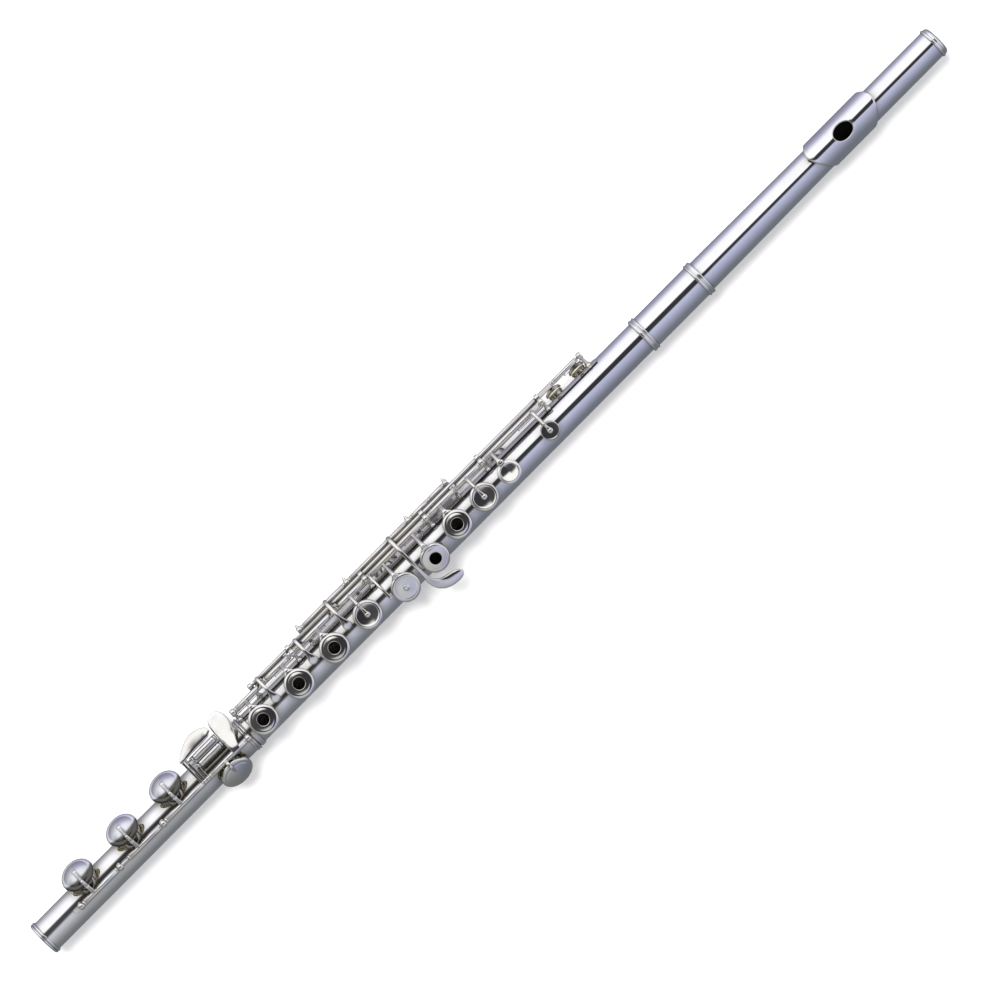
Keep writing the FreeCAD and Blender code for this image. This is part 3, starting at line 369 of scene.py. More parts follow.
def lathe(profile, segments=64, wobble=None):
    """Turns a profile about Z. Radius 0 gives a pole; with no pole at an end the loop closes."""
    verts, rings = [], []
    for r, z in profile:
        if r < 1e-6:
            rings.append([len(verts)])
            verts.append((0, 0, z))
            continue
        ring = []
        for k in range(segments):
            a = 2 * math.pi * k / segments
            dr, dz = wobble(a, r, z) if wobble else (0.0, 0.0)
            ring.append(len(verts))
            verts.append(((r + dr) * math.cos(a), (r + dr) * math.sin(a), z + dz))
        rings.append(ring)
    pairs = list(zip(rings[:-1], rings[1:]))
    if len(rings[0]) > 1 and len(rings[-1]) > 1:
        pairs.append((rings[-1], rings[0]))
    faces = []
    for low, high in pairs:
        for k in range(segments):
            j = (k + 1) % segments
            if len(low) == 1:
                faces.append((low[0], high[j], high[k]))
            elif len(high) == 1:
                faces.append((low[k], low[j], high[0]))
            else:
                faces.append((low[k], low[j], high[j], high[k]))
    return verts, faces


def bands(count, side):
    """Quads between count rings of side points each."""
    return [(i * side + k, i * side + (k + 1) % side,
             (i + 1) * side + (k + 1) % side, (i + 1) * side + k)
            for i in range(count - 1) for k in range(side)]


def catmull_rom(p0, p1, p2, p3, t):
    return 0.5 * ((2 * p1) + (-p0 + p2) * t + (2 * p0 - 5 * p1 + 4 * p2 - p3) * t * t
                  + (-p0 + 3 * p1 - 3 * p2 + p3) * t * t * t)


def resample(rows, steps):
    """Smooth curve through rows of equal length, so many steps a span."""
    out = []
    last = len(rows) - 1
    for i in range(last):
        near = (rows[max(i - 1, 0)], rows[i], rows[i + 1], rows[min(i + 2, last)])
        for k in range(steps):
            out.append([catmull_rom(*column, k / steps) for column in zip(*near)])
    out.append(rows[-1])
    return out


def sweep(rows, steps=7, side=18, width_power=0.8, thick_power=0.9):
    """Bar along (x, y, z, width, thickness[, twist]) rows, its width level and across the path.

    The powers square the section off as they fall. Both ends close to a point.
    """
    rows = resample([list(row) + [0.0] * (6 - len(row)) for row in rows], steps)
    last = len(rows) - 1
    verts = []
    level = None
    for i, (x, y, z, width, thick, twist) in enumerate(rows):
        before, after = rows[max(i - 1, 0)], rows[min(i + 1, last)]
        along = Vector([after[j] - before[j] for j in range(3)]).normalized()
        across = Vector((0, 0, 1)).cross(along)
        if across.length < 0.35 and level is not None:
            across = level - along * level.dot(along)
        elif across.length < 1e-3:
            across = Vector((1, 0, 0))
        across.normalize()
        if level is not None and across.dot(level) < 0:
            across = -across
        level = across
        up = across.cross(along)
        if up.z < -0.2:
            up = -up
        if twist:
            spin = Matrix.Rotation(math.radians(twist), 3, along)
            across, up = spin @ across, spin @ up
        for k in range(side):
            a = 2 * math.pi * k / side
            c, s = math.cos(a), math.sin(a)
            u = max(width, 0.05) / 2 * math.copysign(abs(c) ** width_power, c)
            v = max(thick, 0.05) / 2 * math.copysign(abs(s) ** thick_power, s)
            verts.append(tuple(Vector((x, y, z)) + across * u + up * v))
    faces = bands(len(rows), side)
    start, end = len(verts), len(verts) + 1
    verts += [tuple(rows[0][:3]), tuple(rows[-1][:3])]
    for k in range(side):
        j = (k + 1) % side
        faces.append((start, j, k))
        faces.append((end, last * side + k, last * side + j))
    return verts, faces


def sweep_at(x, path, **shape):
    """Bar along (y, z, width, thickness) rows at one x."""
    return sweep([(x, *row) for row in path], **shape)


def quarter(r0, z0, r1, z1, steps, start=0.0):
    """Quarter ellipse from an upright wall at (r0, z0) to a level top at (r1, z1)."""
    out = []
    for i in range(steps + 1):
        t = math.radians(start + (90.0 - start) * i / steps)
        out.append((r1 + (r0 - r1) * math.cos(t), z0 + (z1 - z0) * math.sin(t)))
    return out


def raised(profile, base=PAD_Z):
    return [(r, base + z) for r, z in profile]


# ---------------------------------------------------------------- pads: felt under a skin
PAD_GAP = 0.56                  # cup radius less pad radius
PAD_TOP = 2.1                   # back of the pad above its face


def roll(share, depth):
    """Rise of a rounded edge; share runs from 0 at the edge to 1 where it is flat."""
    if share >= 1.0:
        return 0.0
    return depth * (1 - math.sqrt(max(0.0, 1 - (1 - share) ** 2)))


def pad_profile(cup_radius, hole_radius, ringed):
    """Face with a ring pressed by the rim, a rolled edge with a seam, a flat card back."""
    outer = cup_radius - PAD_GAP
    inner = RING_HOLE + 0.66 if ringed else 0.0
    steps = 26
    points = []
    for i in range(steps + 1):
        r = inner + (outer - inner) * (i / steps) ** 0.9
        z = 0.02 + roll((outer - r) / 0.8, 0.55)
        if ringed:
            z += roll((r - inner) / 0.55, 0.32)
        from_ring = (r - (hole_radius + 0.2)) / 0.45
        z += 0.13 * math.exp(-from_ring * from_ring)
        points.append((r, z))
    points += [(outer + 0.02, 0.75), (outer + 0.03, 1.05), (outer - 0.03, 1.16),
               (outer + 0.03, 1.28), (outer + 0.02, 1.7), (outer - 0.05, PAD_TOP - 0.08),
               (outer - 0.2, PAD_TOP)]
    if ringed:
        return points + [(inner + 0.1, PAD_TOP)]
    return points + [(outer * 0.5, PAD_TOP), (0.0, PAD_TOP)]


def pad(cup):
    x, _, hole_radius = HOLES[cup.hole]

    def puckers(a, r, z):
        """Pleats round the edge and a slightly uneven face."""
        edge = max(0.0, 1 - abs(r - (cup.radius - PAD_GAP)) / 1.2)
        uneven = noise.noise(Vector((math.cos(a) * 6.0, math.sin(a) * 6.0, x)))
        pleat = math.sin(a * 34 + 2.2 * uneven)
        dz = 0.028 * edge * pleat if z < PAD_Z + 1.0 else 0.0
        if z < PAD_Z + 0.9:
            dz += 0.02 * uneven
        return -0.025 * edge * abs(pleat), dz

    return lathe(raised(pad_profile(cup.radius, hole_radius, cup.shape == "ring")), 96, puckers)


def make_pads():
    for body, key in KEYS.items():
        several = len(key.cups) > 1
        cad_name = body + ("_pads" if several else "_pad")
        for i, cup in enumerate(key.cups):
            name = cad_name + "_soft" + ("_%d" % (i + 1) if several else "")
            ob = make(name, moved(pad(cup), cup_pose(key, cup)), SKIN)
            register(ob, body, cad_name if i == 0 else None)


# ---------------------------------------------------------------- stopper cork
CORK_START = EMBOUCHURE_X - 17.3 - 12.6     # its -X end
CORK_LENGTH, CORK_RADIUS, CORK_BORE = 11.7, 8.42, 2.42


def cork_pits(a, r, z):
    if r < 3:
        return 0, 0
    swell = noise.noise(Vector((math.cos(a) * 3, math.sin(a) * 3, z * 0.5)))
    pit = noise.noise(Vector((math.cos(a) * 9, math.sin(a) * 9, z * 1.7)))
    return 0.03 * swell - (0.18 if pit > 0.42 else 0.0), 0.0


def make_cork():
    """Barrel with rounded ends and a bore."""
    steps = 30
    wall = []
    for i in range(steps + 1):
        t = i / steps
        from_end = min(t, 1 - t) * CORK_LENGTH
        r = CORK_RADIUS - 0.55 * math.exp(-(from_end / 0.55) ** 2) + 0.06 * math.sin(t * math.pi)
        wall.append((r, CORK_START + CORK_LENGTH * t))
    profile = ([(CORK_BORE, CORK_START + 0.02)] + wall
               + [(CORK_BORE, CORK_START + CORK_LENGTH - 0.02)])
    ob = make("stopper_cork_soft", along_x(lathe(profile, 120, cork_pits)), CORK)
    register(ob, "stopper", "stopper_cork")


# ---------------------------------------------------------------- key cups
# Shell profiles above PAD_Z: inside first, round the skirt and over the top.
CUP_ROOF = 2.12                 # inside of the cup, just over the pad


def skirt(radius):
    wall = radius - 0.5
    return [(wall, CUP_ROOF), (wall, 0.95), (radius - 0.44, 0.82), (radius - 0.25, 0.76),
            (radius - 0.06, 0.82), (radius, 0.95)]


def crown(radius, base, top, power, shares):
    """Domed top, ending on the axis."""
    return [(radius * f, base + (top - base) * (1 - f ** power)) for f in (*shares, 0.0)]


def ring_cup(radius):
    """Open-hole cup with a collar round the hole."""
    hole = RING_HOLE
    shoulder, collar = radius - 2.25, hole + 0.35
    points = [(hole + 0.6, CUP_ROOF)] + skirt(radius)
    points += quarter(radius, 1.6, radius - 1.95, 3.12, 12)
    points += [(shoulder + (collar - shoulder) * f, 3.13 + 0.30 * (1.0 - (1.0 - f) ** 2))
               for f in (0.0, 0.15, 0.3, 0.45, 0.6, 0.75, 0.9, 1.0)]
    return points + [(hole + 0.16, 3.40), (hole + 0.04, 3.30), (hole, 3.16), (hole, 0.6),
                     (hole + 0.1, 0.5), (hole + 0.5, 0.5), (hole + 0.6, 0.6)]


def concave_cup(radius):
    """Cup with a hollowed top inside a small step; cups under 7 mm are nearly flat."""
    if radius < 7:
        shoulder, gap, step, hollow = 0.6, 0.35, 0.05, 0.012
    else:
        shoulder, gap, step, hollow = 1.7, 0.5, 0.18, 0.075
    flat = radius - shoulder
    dish = flat - gap
    points = [(0, CUP_ROOF)] + skirt(radius) + quarter(radius, 1.7, flat, 3.3, 10)
    points += [(flat - 0.12, 3.295), (flat - 0.25, 3.3 - step * 0.5), (dish, 3.3 - step)]
    return points + [(dish * f, 3.285 - step - hollow * dish * (1.0 - f * f))
                     for f in (0.9, 0.8, 0.65, 0.5, 0.35, 0.2, 0.1, 0.0)]


def boss_cup(radius):
    """Flat-topped cup with a small button in the middle."""
    points = [(0, CUP_ROOF)] + skirt(radius) + quarter(radius, 1.8, radius - 1.9, 3.05, 9)
    return points + [(radius - 2.1, 3.0), (radius - 2.3, 2.92), (radius - 2.6, 2.9),
                     (radius * 0.5, 2.98), (2.1, 3.02), (1.8, 3.08), (1.6, 3.25), (1.35, 3.45),
                     (0.9, 3.6), (0.4, 3.66), (0, 3.67)]


def high_cup(radius):
    """Tall dome over a turned step."""
    points = [(0, CUP_ROOF)] + skirt(radius) + quarter(radius, 1.4, radius * 0.80, 2.62, 9, 6.0)
    points += [(radius * 0.785, 2.66), (radius * 0.77, 2.76)]
    return points + crown(radius * 0.76, 2.86, 5.3, 2.1,
                          (1.0, 0.95, 0.88, 0.8, 0.7, 0.6, 0.48, 0.36, 0.24, 0.12, 0.05))


def dome_cup(radius):
    """Low dome over a turned step."""
    top = 4.35 if radius > 9 else 3.9
    points = [(0, CUP_ROOF)] + skirt(radius) + quarter(radius, 1.5, radius * 0.80, 2.75, 9, 8.0)
    points += [(radius * 0.775, 2.80), (radius * 0.755, 2.92)]
    return points + crown(radius * 0.745, 3.0, top, 2.2,
                          (1.0, 0.94, 0.85, 0.72, 0.56, 0.38, 0.2, 0.08))


CUP_SHAPES = {"ring": ring_cup, "concave": concave_cup, "boss": boss_cup, "high": high_cup,
              "dome": dome_cup}


# ---------------------------------------------------------------- hinge parts
def hinge_tube(x0, x1, line, outer, bore, grooved=True):
    """Tube with broken edges; a long one has a turned groove near each end."""
    edge = 0.22
    profile = [(bore, x0), (outer - edge, x0), (outer - 0.06, x0 + 0.08), (outer, x0 + edge)]
    if grooved and x1 - x0 > 6.0:
        for x in (x0 + 1.1, x1 - 1.1):
            profile += [(outer, x - 0.22), (outer - 0.16, x - 0.1),
                        (outer - 0.16, x + 0.1), (outer, x + 0.22)]
    profile += [(outer, x1 - edge), (outer - 0.06, x1 - 0.08), (outer - edge, x1), (bore, x1)]
    return along_x(lathe(profile, 40), line)


def shaft(x0, x1, line, radius, bore=0.0):
    return hinge_tube(x0, x1, line, radius, bore, grooved=False)


def spring_catch(x, line):
    """Small pin with a rounded end, from the hinge line towards the tube's axis."""
    length = CATCH_LENGTH[line]
    distance = math.hypot(*line)
    uy, uz = -line[0] / distance, -line[1] / distance
    verts, faces = lathe([(0, 0.4), (0.42, 0.4), (0.42, length - 0.3), (0.3, length - 0.08),
                          (0, length)], 16)
    return [(x + a, line[0] + uy * c + uz * b, line[1] + uz * c - uy * b)
            for a, b, c in verts], faces


def clutch_lug(x0, x1, angle):
    """Lug with a rounded outline standing from a tube of the main line."""
    half, reach = 0.55, 2.9
    a = math.radians(angle)
    s, c = math.sin(a), math.cos(a)
    outline = [(-half, 0.6), (half, 0.6), (half, reach - 0.45), (half - 0.15, reach - 0.12),
               (half - 0.4, reach), (-half + 0.4, reach), (-half + 0.15, reach - 0.12),
               (-half, reach - 0.45)]
    side = len(outline)
    bevel = min(0.15, (x1 - x0) / 4)
    verts = []
    for x, scale in ((x0, 0.86), (x0 + bevel, 1.0), (x1 - bevel, 1.0), (x1, 0.86)):
        for u, r in outline:
            verts.append((x, MAIN[0] + c * u * scale - s * r, MAIN[1] + s * u * scale + c * r))
    faces = bands(4, side) + [tuple(range(side)), tuple(3 * side + k for k in range(side))]
    return verts, faces


# ---------------------------------------------------------------- arms, in the cup's frame
def pointed_arm(line, angle, cup_radius, top, width):
    """Arm from the hinge to a button over the cup's centre."""
    hy, hz = seen_from(line, angle)
    s = -1.0 if hy < 0 else 1.0
    crest = PAD_Z + top
    # y, z, width, thickness
    if hz < PAD_Z + 1.0:
        path = [(hy, hz, 3.0, 1.8),
                (s * max(abs(hy) - 1.1, cup_radius + 1.6), (hz + PAD_Z + 2.4) / 2.0 + 0.6, 2.5, 2.0),
                (s * (cup_radius + 0.2), crest - 0.05, width + 0.1, 1.9),
                (s * (cup_radius - 1.9), crest + 0.1, width, 1.7),
                (s * cup_radius * 0.45, crest - 0.2, width, 1.6),
                (s * 1.4, crest - 0.3, width * 1.35, 1.5), (0.0, crest - 0.35, 2.6, 1.3)]
    else:
        path = [(hy, hz, 3.0, 1.8), (hy * 0.72, hz - 0.1 * (hz - PAD_Z), 2.6, 2.0),
                (hy * 0.42, crest + 0.25, 2.2, 1.7), (s * 1.6, crest, 2.6, 1.5),
                (0.0, crest - 0.1, 2.9, 1.3)]
    z, r = crest - 0.55, 1.75
    button = lathe([(0, z - 0.5), (r * 0.9, z - 0.5)] + quarter(r, z, 0.0, z + 1.15, 8), 32)
    return joined([sweep_at(0.0, path, side=16, width_power=0.95, thick_power=1.25), button])


def side_arm(line, angle, cup_radius, width=2.4, end_width=6.4):
    """Arm from the hinge that fans out against the cup's side."""
    hy, hz = seen_from(line, angle)
    s = -1.0 if hy < 0 else 1.0
    path = [(hy, hz, 3.0, 2.0), (s * (abs(hy) - 1.5), hz + 2.6, width, 2.1),
            (s * (cup_radius + 2.2), PAD_Z + 1.5, width + 0.4, 1.9),
            (s * (cup_radius + 0.6), PAD_Z + 2.1, width + 2.2, 1.6),
            (s * (cup_radius - 0.4), PAD_Z + 2.3, end_width, 1.3),
            (s * (cup_radius - 1.0), PAD_Z + 2.3, end_width * 0.8, 1.0)]
    return sweep_at(0.0, path, side=16, width_power=0.95, thick_power=1.1)


def cup_arms(key, cup):
    angle = HOLES[cup.hole][1]
    if cup.arm == "pointed":
        return [pointed_arm(key.line, angle, cup.radius, cup.arm_top, cup.arm_width)]
    if cup.arm == "side":
        return [side_arm(key.line, angle, cup.radius)]
    return []


# ---------------------------------------------------------------- building a key
def add_painted_side_shade(ob, pose):
    """Point weight for painted shade on one shoulder of a foot cup, on the side that faces its
    hinge.
    """
    to_cup = pose.inverted()
    weights = []
    for vertex in ob.data.vertices:
        p = to_cup @ (vertex.co / MM)
        t = min(1.0, max(0.0, (math.hypot(p.x, p.y + 8.0) - 12.6) / 1.3))
        weights.append(0.92 * t * t * (3 - 2 * t))
    attribute = ob.data.attributes.new("painted_side_shade", "FLOAT", "POINT")
    attribute.data.foreach_set("value", weights)


def key_object(name, parts, material):
    ob = make(name, joined(parts), material)
    ob.data.shade_smooth()      # also drops the face sharpness layer
    return ob


def build_key(name, extra):
    """One object for tubes, arms and extra parts, one for the cups; both ride on the key."""
    key = KEYS[name]
    work = [hinge_tube(x0, x1, key.line, key.outer, key.bore) for x0, x1 in key.tubes]
    shells = []
    for cup in key.cups:
        pose = cup_pose(key, cup)
        work += [moved(arm, pose) for arm in cup_arms(key, cup)]
        shells.append(moved(lathe(raised(CUP_SHAPES[cup.shape](cup.radius)), 96), pose))
    register(key_object(name + "_work", work + extra, KEY_SILVER), name, name)
    if shells:
        high = key.cups[0].shape == "high"
        ob = key_object(name + "_cup", shells, CUP_SILVER if high else KEY_SILVER)
        register(ob, name)
        # Foot cups get painted shade on one shoulder.
        if high:
            add_painted_side_shade(ob, cup_pose(key, key.cups[0]))


# ---------------------------------------------------------------- main line keys
# touch dish, radius and height over RIM: underside, edge and raised lip
DISH = [(0, 0.85), (4.4, 0.85), (5.7, 1.0), (6.5, 1.25), (6.8, 1.45), (6.88, 1.62), (6.82, 1.8),
        (6.6, 1.98), (6.3, 2.15), (5.95, 2.32), (5.6, 2.47), (5.35, 2.53), (5.15, 2.5), (5.0, 2.4)]
# y, z, width, thickness
G_STOP = [(*MAIN, 2.0, 1.9), (-14.2, 11.0, 1.6, 1.7), (-10.0, 13.6, 1.5, 1.4),
          (-4.0, 15.0, 1.5, 1.3), (2.2, 15.1, 1.7, 1.4), (3.6, 14.9, 0.6, 0.6)]


def c_key_touch():
    """Hollow dish over the tube at the thumb hole's x, tilted, and its arm."""
    pose = turned(MAIN, OPEN) @ place(HOLES["thumb"][0], 0.0)
    pivot = RIM + 1.7
    tilted = (pose @ Matrix.Translation((0, 0, pivot))
              @ Matrix.Rotation(math.radians(6.0), 4, "X") @ Matrix.Translation((0, 0, -pivot)))
    hollow = [(4.9 * f, 1.68 + 0.66 * f * f) for f in (1.0, 0.92, 0.8, 0.65, 0.48, 0.3, 0.12, 0.0)]
    dish = lathe(raised(DISH + hollow, RIM), 96)
    return [moved(dish, tilted), moved(side_arm(MAIN, 0.0, 6.8, 2.2, 3.6), pose)]


def g_key_extras():
    """Arm of the lower cup and the curved bar over the tube."""
    key = KEYS["g_key"]
    lower = key.cups[1]
    arm = side_arm(MAIN, HOLES[lower.hole][1], lower.radius, 2.2, 4.4)
    return [moved(arm, cup_pose(key, lower)), moved(sweep_at(-273.1, G_STOP), turned(MAIN, OPEN))]


def main_keys():
    build_key("c_key", [spring_catch(-390.0, MAIN)] + c_key_touch())
    build_key("bb_key", [spring_catch(-349.0, MAIN), clutch_lug(-343.0, -341.3, 50.0)])
    build_key("a_key", [spring_catch(-331.0, MAIN), clutch_lug(-343.0, -339.4, 86.0)])
    build_key("g_key", [spring_catch(-299.5, MAIN)] + g_key_extras())
    build_key("f_sharp_key", [
        spring_catch(-257.0, MAIN), shaft(-270.4, -164.4, MAIN, 1.0),
        clutch_lug(-249.0, -247.2, 50.0), clutch_lug(-210.0, -209.0, 50.0),
        clutch_lug(-190.0, -189.4, 50.0)])
    build_key("f_key", [spring_catch(-236.0, MAIN), clutch_lug(-249.0, -245.4, 86.0)])
    build_key("e_key", [spring_catch(-196.5, MAIN), clutch_lug(-210.0, -207.5, 98.0)])
    build_key("d_key", [spring_catch(-182.0, MAIN), clutch_lug(-190.0, -187.1, 98.0)])


# ---------------------------------------------------------------- trill keys
# y, z, width, thickness
TRILL_TOUCH = [(*TRILL, 2.3, 1.6), (-19.6, 7.4, 2.1, 1.6), (-17.4, 11.0, 2.0, 1.5),
               (-12.9, 13.3, 1.9, 1.4), (-9.6, 14.1, 2.5, 1.35), (-7.0, 14.4, 4.4, 1.3),
               (-4.9, 14.45, 5.5, 1.25), (-3.3, 14.4, 4.4, 1.1), (-2.5, 14.3, 1.2, 0.6)]


def trill_keys():
    build_key("trill_d_key", [sweep_at(-218.3, TRILL_TOUCH), spring_catch(-390.0, TRILL)])
    build_key("trill_ds_key", [sweep_at(-188.2, TRILL_TOUCH), spring_catch(-430.0, TRILL),
                               shaft(-444.6, -181.0, TRILL, 0.8)])


# ---------------------------------------------------------------- back line keys
THUMB_ANGLE = HOLES["thumb"][1]
THUMB_X = -332.2
# x, y, z, width, thickness in the thumb hole's turn: cup to hinge
THUMB_BAR = [(-371.0, 0.0, 16.2, 1.0, 0.7), (-369.7, -0.4, 16.3, 6.0, 1.5),
             (-366.0, 0.0, 16.35, 5.2, 1.7), (-357.0, 2.5, 16.3, 3.4, 1.8),
             (-345.0, 5.4, 16.2, 2.9, 1.8), (-336.0, 7.0, 16.1, 3.6, 1.8),
             (-332.6, 9.4, 15.4, 4.2, 1.9), (THUMB_X, *seen_from(BACK, THUMB_ANGLE), 5.0, 2.0)]
# y, z, width, thickness
THUMB_B_TOUCH = [(*BACK, 5.0, 2.0), (-18.6, -7.2, 5.6, 1.7), (-15.0, -12.6, 8.4, 1.5),
                 (-9.6, -15.9, 10.0, 1.45), (-5.0, -17.1, 8.6, 1.3), (-3.4, -17.4, 1.5, 0.5)]
THUMB_BB_TOUCH = [(*BACK, 5.0, 2.0), (-18.6, -7.2, 5.6, 1.7), (-15.0, -12.6, 8.2, 1.5),
                  (-9.6, -15.9, 9.8, 1.45), (-4.0, -17.3, 8.6, 1.3), (-2.2, -17.6, 1.5, 0.5)]
SIDE_LEVER = [(*BACK, 2.4, 2.2), (-22.2, 4.0, 2.3, 1.9), (-20.6, 9.2, 2.2, 1.7),
              (-16.0, 12.6, 2.1, 1.5), (-11.0, 14.3, 2.2, 1.4), (-7.4, 14.8, 4.4, 1.35),
              (-5.1, 14.9, 5.5, 1.3), (-3.5, 14.8, 4.4, 1.1), (-2.7, 14.7, 1.2, 0.6)]
# x, y, z, width, thickness
G_SHARP_TOUCH = [(-295.4, *BACK, 2.6, 2.2), (-295.4, -22.2, 4.0, 2.5, 1.9),
                 (-295.4, -21.0, 9.4, 2.4, 1.8), (-295.4, -15.8, 13.2, 2.3, 1.7),
                 (-295.4, -8.0, 15.4, 2.2, 1.6), (-295.4, 0.0, 16.1, 2.2, 1.5),
                 (-295.4, 6.5, 15.7, 2.6, 1.5), (-295.7, 11.0, 14.5, 3.8, 1.6),
                 (-297.8, 15.0, 13.1, 5.6, 1.8), (-301.6, 17.6, 12.2, 6.9, 2.0),
                 (-306.4, 18.9, 11.8, 6.9, 1.9), (-310.6, 19.6, 11.5, 5.0, 1.5),
                 (-312.6, 19.8, 11.4, 1.2, 0.6)]


def back_keys():
    bar_pose = turned(BACK, OPEN_BACK) @ place(0.0, THUMB_ANGLE)
    build_key("thumb_b_key", [moved(sweep(THUMB_BAR), bar_pose),
                              sweep_at(THUMB_X, THUMB_B_TOUCH), spring_catch(-332.0, BACK)])
    build_key("thumb_bb_key", [sweep_at(-320.5, THUMB_BB_TOUCH), spring_catch(-314.0, BACK)])
    build_key("g_sharp_key", [sweep(G_SHARP_TOUCH), spring_catch(-270.0, BACK)])
    build_key("bb_side_lever", [sweep_at(-245.3, SIDE_LEVER), spring_catch(-232.0, BACK)])


# ---------------------------------------------------------------- foot keys and rollers
# sloping plane of the touches, two points as (y, z)
PLANE_START, PLANE_END = (1.0, 15.3), (-24.6, 11.4)
ROLLER_B_Y, ROLLER_C_Y = -8.4, -13.1
ROLLER_X = -140.1               # middle of both rollers
# half of a roller from its end inwards: radius, distance from ROLLER_X
ROLLER_HALF = [(0.75, 7.9), (1.35, 7.9), (1.62, 7.8), (1.85, 7.5), (2.0, 7.1), (2.05, 6.7),
               (2.05, 6.1), (1.93, 5.9), (1.93, 5.7), (2.05, 5.5)]
# x, y, z, width, thickness
LOW_DS_TOUCH = [(-152.4, 0.4, 15.2, 5.2, 1.8), (-152.6, -2.4, 14.6, 5.9, 1.6),
                (-153.4, -6.5, 13.1, 8.0, 1.5), (-154.8, -11.0, 11.35, 10.2, 1.5),
                (-155.6, -15.5, 9.6, 11.4, 1.6), (-155.9, -19.4, 8.1, 10.6, 1.5),
                (-156.0, -22.4, 7.0, 7.2, 1.3), (-156.0, -23.9, 6.45, 1.2, 0.5)]
LOW_CS_TOUCH = [(-149.2, -18.0, 12.0, 1.0, 0.5), (-147.4, -18.9, 11.7, 5.6, 1.3),
                (-143.5, -19.8, 11.3, 8.0, 1.6), (-139.0, -20.1, 11.2, 8.7, 1.7),
                (-134.0, -19.4, 11.5, 7.4, 1.6), (-129.5, -18.1, 12.1, 5.2, 1.5),
                (-126.2, -16.9, 12.6, 3.1, 1.4), (-124.7, -16.5, 12.8, 1.0, 0.6)]
LOW_CS_TWIST = 20.0


def plane_z(y):
    (y0, z0), (y1, z1) = PLANE_START, PLANE_END
    return z0 + (z1 - z0) * (y - y0) / (y1 - y0)


def roller_z(y):
    return plane_z(y) - 0.7


def foot_arm(x0, x1, y_end):
    """Flat arm from the hinge towards -Y, just under the touch plane."""
    width = x1 - x0 - 0.3
    y_mid = (y_end - 1.5) / 2.0
    z_end = plane_z(y_end) - 0.6
    return sweep_at((x0 + x1) / 2.0, [
        (0.2, 14.3, width, 2.0), (-1.5, 14.6, width, 1.5), (y_mid, plane_z(y_mid) - 0.6, width, 1.3),
        (y_end, z_end, width, 1.3), (y_end - 0.4, z_end, 0.5, 0.4)],
        width_power=0.45, thick_power=0.6)


def roller_cradle(y, tube_end):
    """Bed, ears and pin that carry a roller, and the bar that joins them to the arm."""
    z = roller_z(y)
    x1 = tube_end - 0.15
    boxy = {"steps": 3, "width_power": 0.35, "thick_power": 0.5}
    # x, width, thickness
    bed = [(-148.2, 3.3, 1.0), (-148.0, 3.4, 1.0), (-131.2, 3.4, 1.0), (-130.9, 3.3, 1.0)]
    bar = [(-131.6, 3.0, 1.3), (-131.2, 3.2, 1.5), (x1 - 0.6, 3.2, 1.5), (x1, 3.0, 1.3)]
    parts = [sweep([(x, y, z - 3.1, w, t) for x, w, t in bed], side=20, **boxy)]
    for x in (-148.6, -131.45):
        ear = lathe([(0, -0.5), (1.45, -0.5), (1.7, -0.27), (1.7, 0.27), (1.45, 0.5), (0, 0.5)], 32)
        parts.append(along_x(ear, (y, z), x))
        parts.append(sweep_at(x, [(y, z - 3.4, 1.0, 3.2), (y, z - 2.0, 1.0, 3.2),
                                  (y, z - 0.2, 1.0, 3.0)], side=16, **boxy))
    pin = lathe([(0, -149.2), (0.5, -149.2), (0.7, -149.05), (0.7, -130.8), (0.5, -130.6),
                 (0, -130.6)], 24)
    parts.append(along_x(pin, (y, z)))
    parts.append(sweep([(x, y, z, w, t) for x, w, t in bar], side=20, **boxy))
    return parts


def roller_arm(name, roller_y):
    x0, x1 = KEYS[name].tubes[0]
    return roller_cradle(roller_y, x1) + [foot_arm(x0, x1, roller_y - 1.6)]


def foot_keys():
    build_key("low_ds_key", [sweep(LOW_DS_TOUCH, thick_power=0.25), spring_catch(-158.5, FOOT)])
    build_key("low_b_key", roller_arm("low_b_key", ROLLER_B_Y) + [
        spring_catch(-54.0, FOOT), shaft(-163.0, -66.8, FOOT, 0.6),
        shaft(-66.9, -31.0, FOOT, 1.1), shaft(-31.1, -28.2, FOOT, 0.6)])
    build_key("low_c_key", roller_arm("low_c_key", ROLLER_C_Y) + [
        spring_catch(-88.0, FOOT), shaft(-128.8, -67.1, FOOT, 1.1, bore=0.67)])
    touch = sweep([(*row, LOW_CS_TWIST) for row in LOW_CS_TOUCH], thick_power=0.7)
    build_key("low_cs_key", [touch, foot_arm(-126.7, -124.9, -16.4), spring_catch(-100.5, FOOT)])


def make_rollers():
    profile = [(r, ROLLER_X - d) for r, d in ROLLER_HALF]
    profile += [(r, ROLLER_X + d) for r, d in reversed(ROLLER_HALF)]
    for name, y in (("low_b_roller", ROLLER_B_Y), ("low_c_roller", ROLLER_C_Y)):
        part = along_x(lathe(profile, 48), (y, roller_z(y)))
        register(make(name + "_turned", part, KEY_SILVER), name, name)


# ---------------------------------------------------------------- lip plate
# elliptical saddle: centre y, half axes in y and z
LIP_Y, LIP_HALF_Y, LIP_HALF_Z = -0.55, 10.85, 13.6
LIP_THICKNESS = 0.95
HEAD_TURN = Matrix.Rotation(math.radians(12.0), 4, "X")
ARC_PER_DEGREE = 0.215          # mm along the plate for a degree round it
# outline: x from EMBOUCHURE_X, degrees round the plate towards +Y
LIP_OUTLINE = [
    (-24.6, -16), (-23.9, -36), (-21.9, -62), (-19.8, -88), (-18.0, -103), (-15.0, -107),
    (0, -107.5), (18, -107), (20.6, -103), (22.0, -88), (23.6, -62), (25.5, -38), (26.2, -14),
    (24.6, 12), (21.8, 38), (19.2, 62), (16.8, 88), (15.6, 102), (13.0, 107), (0, 107.5),
    (-12.5, 107), (-14.8, 102), (-15.8, 88), (-18.3, 62), (-20.8, 38), (-23.2, 12)]
